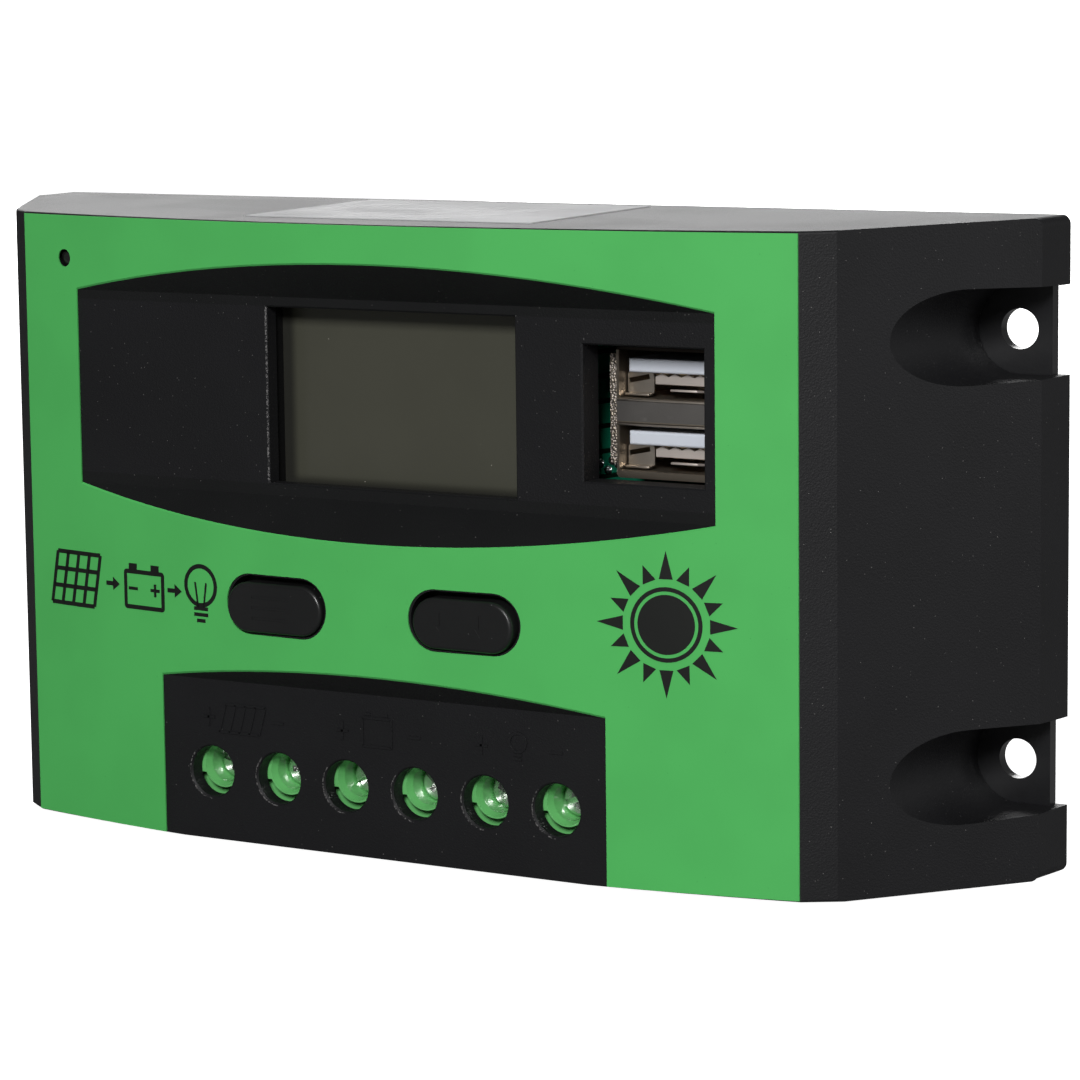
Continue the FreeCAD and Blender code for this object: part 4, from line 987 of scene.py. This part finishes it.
    def laid_on(self, piece: Piece, node: str, side: Side, film: float = 0.02) -> Piece:
        """Lay a flat print on a CAD node, so that it follows the node's curve.

        Args:
            piece: the flat piece, over the node.
            node: the CAD node.
            side: the side of the node.
            film: the thickness of the print, which is also its gap.

        Returns:
            The same piece.
        """
        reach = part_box("front_shell")
        outward = -1.0 if side is Side.FRONT else 1.0
        far = reach[0].y / MM - 5 if side is Side.FRONT else reach[1].z / MM + 5
        xs = [vertex.co.x for vertex in piece.data.vertices]
        cuts = int((max(xs) - min(xs)) / (STRIP * MM))
        with self.editing(piece):
            for n in range(1, cuts + 1):
                bpy.ops.mesh.select_all(action="SELECT")
                at = min(xs) + n * STRIP * MM
                bpy.ops.mesh.bisect(plane_co=(at, 0.0, 0.0), plane_no=(1.0, 0.0, 0.0))
        axis = (0.0, 1.0, 0.0) if side is Side.FRONT else (0.0, 0.0, 1.0)
        self.moved(piece, [value * far for value in axis])
        self.applied(piece, "SHRINKWRAP", target=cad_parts[node], wrap_method="PROJECT",
                          use_project_y=side is Side.FRONT, use_project_z=side is Side.TOP,
                          use_positive_direction=side is Side.FRONT, use_negative_direction=side is Side.TOP)
        self.moved(piece, [value * outward * film for value in axis])
        return self.applied(piece, "SOLIDIFY", thickness=film * MM, offset=0.0)


@dataclass
class SubAssembly(Workbench):
    """A group of new pieces that share the case's form and the set of materials."""

    materials: dict[str, Material]
    form: CaseForm

    def finish(self, piece: Piece, name: str, finish: str, slot: str) -> None:
        """Name, dress and mount a finished piece.

        Args:
            piece: the piece.
            name: its name.
            finish: its finish.
            slot: the record's material slot it belongs to; not used.
        """
        piece.name = name
        piece.data.name = name
        piece.data.materials.clear()
        piece.data.materials.append(self.materials[finish])
        self.alone(piece)
        bpy.ops.object.shade_smooth_by_angle(angle=math.radians(35))
        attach(piece, CASE)
        LOG.info("built %s, %d faces", name, len(piece.data.polygons))

    def build(self) -> None:
        """Build the pieces."""
        raise NotImplementedError


@dataclass
class FacePrints(SubAssembly):
    """Black prints on the green face: a plain sun, and panel, battery and lamp signs in a row."""

    sun_centre: Flat = (39.7, -6.9)
    sun_radius: float = 3.5
    sun_ring: Range = (4.4, 0.5)
    ray_foot: float = 5.3
    ray_tips: Flat = (8.6, 7.4)
    ray_width: float = 1.7
    rays: int = 16
    sign_z: float = -7.6
    sign_line: float = 0.55
    panel_x: Range = (-51.8, -43.9)
    panel_half_height: float = 3.3
    panel_lean: float = 1.3
    battery_x: Range = (-38.4, -31.4)
    battery_z: Range = (-10.5, -5.5)
    post_inset: float = 1.6
    lamp_centre: Flat = (-25.3, -6.6)
    lamp_radius: float = 2.7
    cap_halves: tuple[float, float] = (1.15, 0.7)
    cap_pitch: float = 0.75
    arrows: tuple[float, float] = (-40.5, -29.75)

    def build(self) -> None:
        """Build the sun and the signs."""
        sun = self.sun()
        panel_z = (self.sign_z - self.panel_half_height, self.sign_z + self.panel_half_height)
        panel = self.leaning_grid(self.panel_x, panel_z, self.panel_lean, 4, self.sign_line)
        signs = self.joined(panel + self.battery() + self.lamp() + self.flow_arrows())
        for flat, name in ((sun, "sun_print"), (signs, "sign_prints")):
            self.finish(self.laid_on(flat, "face_overlay", Side.FRONT), name, "ink", "green_overlay")

    def sun(self) -> Piece:
        """Make a disc, a thin ring and long and short rays.

        Returns:
            The flat sun.
        """
        radius, width = self.sun_ring
        ring = self.outline(self.disc(self.sun_centre, radius), width)
        parts = [self.disc(self.sun_centre, self.sun_radius), ring]
        for n, tip in enumerate(self.ray_tips):
            angle = math.tau * n / self.rays
            direction = Vector((math.cos(angle), math.sin(angle)))
            centre = Vector(self.sun_centre)
            ray = self.spike(centre + direction * self.ray_foot, centre + direction * tip, self.ray_width)
            parts += self.ringed(ray, self.sun_centre, self.rays // len(self.ray_tips))
        return self.joined(parts)

    def battery(self) -> list[Piece]:
        """Make a battery with its two posts, a plus and a minus.

        Returns:
            Its flat parts.
        """
        left, right = self.battery_x
        top = self.battery_z[1] + 0.35
        level = self.sign_z - 0.3
        across = [(right - left - 2 * self.post_inset, 0.0, 0.0)]
        x = left + self.post_inset
        plus_x = right - self.post_inset
        parts = [self.outline(self.plate(self.battery_x, self.battery_z, 0.5), self.sign_line)]
        parts += self.repeated(self.bar((x - 0.7, top), (x + 0.7, top), 0.8), across)
        parts += self.repeated(self.bar((x - 0.8, level), (x + 0.8, level), 0.4), across)
        return parts + [self.bar((plus_x, level - 0.8), (plus_x, level + 0.8), 0.4)]

    def lamp(self) -> list[Piece]:
        """Make a lamp bulb with its screw cap.

        Returns:
            Its flat parts.
        """
        x, z = self.lamp_centre
        level = z - self.lamp_radius - 0.15
        wide, narrow = self.cap_halves
        parts = [self.outline(self.disc(self.lamp_centre, self.lamp_radius), self.sign_line)]
        parts += self.repeated(self.bar((x - wide, level), (x + wide, level), 0.45), [(0.0, 0.0, -self.cap_pitch)])
        level -= 2 * self.cap_pitch
        parts.append(self.bar((x - narrow, level), (x + narrow, level), 0.45))
        for side in (-1, 1):
            parts.append(self.bar((x + side * 0.45, z - self.lamp_radius), (x + side * 0.9, z + 0.4), 0.3))
        return parts

    def flow_arrows(self) -> list[Piece]:
        """Make the two arrows between the signs.

        Returns:
            Their flat parts.
        """
        x, z = self.arrows[0], self.sign_z
        offset = [(self.arrows[1] - x, 0.0, 0.0)]
        shaft = self.repeated(self.bar((x - 1.1, z), (x + 0.3, z), self.sign_line), offset)
        return shaft + self.repeated(self.spike((x + 0.1, z), (x + 1.3, z), 1.7), offset)


@dataclass
class LabelPrint(SubAssembly):
    """Grey bars printed on the silver label, in place of any words."""

    first_row: float = -28.0
    row_pitch: float = 2.4
    row_left: float = -19.5
    row_ends: tuple[float, ...] = (6.0, 12.5, 9.0, 14.0, 4.5, 11.0, 7.5, 13.0)
    row_width: float = 0.9
    film: float = 0.012

    def build(self) -> None:
        """Build the rows of bars and lay them on the label."""
        bars = []
        for n, right in enumerate(self.row_ends):
            place = ((self.row_left + right) / 2 * MM, (self.first_row + n * self.row_pitch) * MM, 0.0)
            bpy.ops.mesh.primitive_plane_add(size=1.0, location=place)
            bpy.context.object.scale = ((right - self.row_left) * MM, self.row_width * MM, 1.0)
            bars.append(self.settled())
        laid = self.laid_on(self.joined(bars), "top_label", Side.TOP, self.film)
        self.finish(laid, "label_print", "label_ink", "silver_label")


@dataclass
class TerminalMarks(SubAssembly):
    """Raised outlines moulded over the screw holes: signs for panel, battery and lamp, and pole signs."""

    line: float = 0.32
    height: float = 0.14
    ease: float = 0.05
    sign_z: Range = (-24.8, -21.3)
    plus_x: tuple[float, ...] = (-25.2, -5.2, 14.8)
    minus_x: tuple[float, ...] = (-14.8, 5.2, 25.2)
    panel_x: Range = (-23.6, -17.6)
    panel_lean: float = 1.0
    battery_x: Range = (-2.4, 2.1)
    post_inset: float = 1.0
    lamp_centre: Flat = (19.9, -22.3)
    lamp_radius: float = 1.3
    cap_drop: float = 1.5
    cap_pitch: float = 0.5
    sunk: float = 0.02

    def build(self) -> None:
        """Build the marks on the flat band over the screws."""
        parts = self.pole_signs() + self.circuit_signs()
        depth = self.form.bow_y(self.form.terminal_band_half_width) + self.sunk
        marks = self.raised(self.joined(parts), depth, self.height, self.ease)
        self.finish(marks, "terminal_marks", "shell", "black_shell")

    def pole_signs(self) -> list[Piece]:
        """Make a plus or a minus for each pole.

        Returns:
            Their flat bars.
        """
        low, high = self.sign_z
        middle = (low + high) / 2
        x = self.plus_x[0]
        pluses = [(place - x, 0.0, 0.0) for place in self.plus_x[1:]]
        minuses = [(place - x, 0.0, 0.0) for place in self.minus_x]
        dashes = self.repeated(self.bar((x - 0.9, middle), (x + 0.9, middle), self.line), pluses + minuses)
        return dashes + self.repeated(self.bar((x, low + 0.6), (x, high - 0.6), self.line), pluses)

    def circuit_signs(self) -> list[Piece]:
        """Make the panel, the battery and the lamp.

        Returns:
            Their flat parts.
        """
        low, high = self.sign_z
        left, right = self.battery_x
        parts = self.leaning_grid(self.panel_x, self.sign_z, self.panel_lean, 2, self.line)
        parts.append(self.outline(self.plate(self.battery_x, (low, high + 0.3), 0.2), self.line))
        x, z = left + self.post_inset, high + 0.6
        post = self.bar((x - 0.4, z), (x + 0.4, z), self.line)
        parts += self.repeated(post, [(right - left - 2 * self.post_inset, 0.0, 0.0)])
        parts.append(self.outline(self.disc(self.lamp_centre, self.lamp_radius, 24), self.line))
        x, z = self.lamp_centre[0], self.lamp_centre[1] - self.cap_drop
        return parts + self.repeated(self.bar((x - 0.55, z), (x + 0.55, z), self.line),
                                     [(0.0, 0.0, -self.cap_pitch)])


@dataclass
class DisplayShadeFrame(SubAssembly):
    """Black frame between the case and the display's glass; its near-black colour is painted shade for the gap
    behind the window.
    """

    window_x: Range = (-16.8, 18.75)
    window_z: Range = (6.3, 27.8)
    reveal: float = 0.45
    width: float = 1.9
    gap: float = 0.05

    def build(self) -> None:
        """Build the frame."""
        grow = self.reveal + self.width
        x, z = ((low - grow, high + grow) for low, high in (self.window_x, self.window_z))
        gasket = self.outline(self.plate(x, z, 0.6), self.width)
        front = self.form.bow_y(self.form.display_band_half_width) + self.form.wall + self.gap
        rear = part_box("lcd_glass")[0].y / MM - self.gap
        self.raised(gasket, rear, rear - front, 0.15)
        # the near-black finish of this frame is painted shade
        self.finish(gasket, "display_shade_frame", "gasket", "dark_plastic")


@dataclass
class SocketDetails(SubAssembly):
    """Sheet metal details of the double USB socket: contact springs, lips and solder."""

    floor: float = 18.4
    port_pitch: float = 8.5
    side_plate_x: Range = (30.4, 33.95)
    crown_x: Range = (34.3, 42.9)
    crown_z: Range = (20.0, 20.9)
    crown_y: float = -27.9
    side_y: float = -27.6
    sheet: float = 0.22
    sheet_ease: float = 0.05
    teeth: int = 5
    tooth_height: float = 0.4
    leaf_x: Range = (35.4, 41.9)
    leaf_rise: float = 0.35
    lip_x: Range = (29.95, 43.35)
    lip_z: Range = (15.35, 18.22)
    lip_y: Range = (-0.16, 0.3)
    lip_half: float = 0.14
    solder_radius: float = 0.55
    solder_places: tuple[Flat, ...] = ((18.6, 8.5), (19.7, 7.7), (21.0, 8.6), (20.3, 8.9))

    def build(self) -> None:
        """Build the springs of both ports, the lips of the bridge and the solder."""
        lower_port = [(0.0, 0.0, -self.port_pitch)]
        upper_edge = [(0.0, 0.0, self.lip_z[1] - self.lip_z[0])]
        x, z = self.solder_places[0]
        drops = [(place[0] - x, 0.0, place[1] - z) for place in self.solder_places[1:]]
        for part, offsets, name, finish in (
            (self.side_spring(), lower_port, "usb_side_springs", "nickel"),
            (self.crown_spring(), lower_port, "usb_crown_springs", "spring"),
            (self.leaf_spring(), lower_port, "usb_floor_springs", "spring"),
            (self.lip(), upper_edge, "usb_bridge_lips", "nickel"),
            (self.solder_drop((x, z)), drops, "usb_solder", "solder"),
        ):
            self.finish(self.joined(self.repeated(part, offsets)), name, finish, "bright_metal")

    def side_spring(self) -> Piece:
        """Make the plate at the left of the upper port, with its slanted slot.

        Returns:
            The plate.
        """
        left, right = self.side_plate_x
        plate = self.plate(self.side_plate_x, (self.floor + 0.45, self.floor + 2.9), 0.25)
        self.raised(plate, self.side_y, self.sheet, self.sheet_ease)
        cutter = self.bar((left + 0.2, self.floor + 1.9), (right - 0.6, self.floor + 2.45), 0.6)
        self.raised(cutter, self.side_y + 1.0, 3.0, 0.02)
        self.applied(plate, "BOOLEAN", operation="DIFFERENCE", object=cutter, solver="EXACT")
        bpy.data.objects.remove(cutter)
        depth = (self.side_y - 1.0, self.side_y)
        fold = self.block((left, right - 0.3), depth, (self.floor + 0.2, self.floor + 0.5), 0.1)
        return self.joined([plate, fold])

    def crown_spring(self) -> Piece:
        """Make the toothed plate under the upper tongue.

        Returns:
            The plate.
        """
        left, right = self.crown_x
        low, high = self.crown_z
        plate = self.bar((left, (low + high) / 2), (right, (low + high) / 2), high - low)
        step = (right - left) / (2 * self.teeth)
        with self.editing(plate):
            for n in range(1, 2 * self.teeth):
                bpy.ops.mesh.select_all(action="SELECT")
                bpy.ops.mesh.bisect(plane_co=((left + n * step) * MM, 0.0, 0.0), plane_no=(1.0, 0.0, 0.0))

        def is_tooth(vertex: object) -> bool:
            """Say whether a vertex is the tip of a tooth."""
            return round((vertex.co.x / MM - left) / step) % 2 == 1 and vertex.co.z / MM > high - 0.1

        with self.editing(plate, Kind.VERTICES, is_tooth):
            bpy.ops.transform.translate(value=(0.0, 0.0, self.tooth_height * MM))
        return self.raised(plate, self.crown_y, self.sheet, self.sheet_ease)

    def leaf_spring(self) -> Piece:
        """Make the leaf that rises from the upper port's floor.

        Returns:
            The leaf.
        """
        depth = (self.crown_y - 1.2, self.crown_y + 2.0)
        leaf = self.block(self.leaf_x, depth, (self.floor + 0.6, self.floor + 0.85), self.sheet_ease)
        with self.editing(leaf, Kind.VERTICES, lambda vertex: vertex.co.y / MM < self.crown_y - 1.0):
            bpy.ops.transform.translate(value=(0.0, 0.0, self.leaf_rise * MM))
            bpy.ops.transform.resize(value=(0.55, 1.0, 1.0))
        return leaf

    def lip(self) -> Piece:
        """Make the rolled lip at the bridge's lower edge.

        Returns:
            The lip.
        """
        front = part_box("usb_shell")[0].y / MM
        near, far = self.lip_y
        z = self.lip_z[0]
        return self.block(self.lip_x, (front + near, front + far), (z - self.lip_half, z + self.lip_half), 0.1, 3)

    def solder_drop(self, place: Flat) -> Piece:
        """Make a drop of solder on the board.

        Args:
            place: its middle, across and up.

        Returns:
            The drop.
        """
        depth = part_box("main_board")[0].y / MM
        bpy.ops.mesh.primitive_uv_sphere_add(segments=20, ring_count=12, radius=self.solder_radius * MM,
                                             location=(place[0] * MM, depth * MM, place[1] * MM))
        drop = self.settled()
        with self.editing(drop, Kind.VERTICES, lambda vertex: vertex.co.y / MM < depth - 0.2):
            bpy.ops.transform.resize(value=(0.6, 1.0, 0.6))
        return drop


# ---------------------------------------------------------------- studio
@dataclass
class Lamp:
    """A soft square area light that faces the object, in metres and watts."""

    name: str
    place: Point
    power: float
    size: float

    def build(self) -> None:
        """Add the light."""
        bpy.ops.object.light_add(type="AREA", location=self.place)
        light = bpy.context.object
        light.name = f"{self.name}_light"
        light.data.energy = self.power
        light.data.size = self.size
        light.rotation_euler = (-Vector(self.place)).to_track_quat("-Z", "Y").to_euler()


@dataclass
class Studio(Workbench):
    """Floor, lights and camera, in metres."""

    camera_place: Point = (0.27213, -0.43567, 0.067)
    turn_deg: float = 31.92
    tilt_deg: float = 7.86
    roll_deg: float = -0.65
    lens_mm: float = 135.83
    floor_size: float = 40.0
    floor_gap: float = 0.00005
    surround: float = 0.115
    lamps: tuple[Lamp, ...] = (
        Lamp("key", (0.42, -0.95, 0.5), 12.3, 0.26),
        Lamp("back", (-0.75, 1.15, 0.3), 15.0, 1.1),
        Lamp("side", (1.15, 0.3, 0.3), 3.5, 0.6),
    )

    def build(self) -> None:
        """Build the whole studio."""
        self.add_camera()
        self.add_floor()
        self.add_world()
        for lamp in self.lamps:
            lamp.build()
        bpy.context.scene.view_settings.view_transform = "Standard"

    def add_camera(self) -> None:
        """Add the camera."""
        bpy.ops.object.camera_add(location=self.camera_place)
        camera = bpy.context.object
        camera.name = "camera"
        camera.data.lens = self.lens_mm
        camera.data.sensor_width = 36.0
        camera.data.clip_start = 0.01
        camera.data.clip_end = 100.0
        turn, tilt, roll = (math.radians(value) for value in (self.turn_deg, self.tilt_deg, self.roll_deg))
        level = Matrix.Rotation(turn, 4, "Z") @ Matrix.Rotation(math.pi / 2 - tilt, 4, "X")
        camera.matrix_world = Matrix.Translation(self.camera_place) @ level @ Matrix.Rotation(roll, 4, "Z")
        bpy.context.scene.camera = camera

    def add_floor(self) -> None:
        """Add a floor that shows pale and throws little light back at the object."""
        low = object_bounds()[0]
        bpy.ops.mesh.primitive_plane_add(size=self.floor_size, location=(0, 0, low.z - self.floor_gap))
        floor = self.settled()
        floor.name = "studio_floor"
        material, graph = blank_material("pale_floor")
        seen = graph.add("BsdfPrincipled", Base_Color=(0.9, 0.9, 0.9), Roughness=0.9,
                         Emission_Color=(1.0, 1.0, 1.0), Emission_Strength=1.0)
        felt = graph.add("BsdfPrincipled", Base_Color=(0.25, 0.25, 0.25), Roughness=0.9)
        mixed = graph.add("MixShader")
        shaders = (graph.add("LightPath").outputs["Is Camera Ray"], felt.outputs[0], seen.outputs[0])
        for socket, given in zip(mixed.inputs, shaders):
            graph.feed(socket, given)
        graph.add("OutputMaterial", Surface=mixed.outputs[0])
        floor.data.materials.append(material)
        floor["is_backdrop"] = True

    def add_world(self) -> None:
        """Add a surround that shows white and lights the object softly."""
        world = bpy.data.worlds.new("studio_world")
        bpy.context.scene.world = world
        world.use_nodes = True
        graph = NodeGraph(world.node_tree)
        backdrop = world.node_tree.nodes["Background"]
        strength = graph.add("MapRange")
        graph.feed(strength.inputs[0], graph.add("LightPath").outputs["Is Camera Ray"])
        graph.feed(strength.inputs[3], self.surround)
        graph.feed(strength.inputs[4], 1.0)
        graph.feed(backdrop.inputs["Color"], (1.0, 1.0, 1.0))
        graph.feed(backdrop.inputs["Strength"], strength.outputs[0])


def dress_frame(materials: dict[str, Material]) -> None:
    """Give every CAD node its finish.

    Args:
        materials: the materials by finish.
    """
    for node, finish in NODE_FINISHES.items():
        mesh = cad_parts[node].data
        mesh.materials.clear()
        mesh.materials.append(materials[finish])
        LOG.info("dressed %s as %s", node, finish)


def main() -> None:
    """Build and dress the object, then its studio."""
    logging.basicConfig(level=logging.INFO, format="%(message)s")
    effects = EffectLibrary()
    materials = {key: finish.build(effects) for key, finish in FINISHES.items()}
    dress_frame(materials)
    form = CaseForm()
    for group in (FacePrints, LabelPrint, TerminalMarks, DisplayShadeFrame, SocketDetails):
        group(materials, form).build()
    Studio().build()


if __name__ == "__main__":
    main()
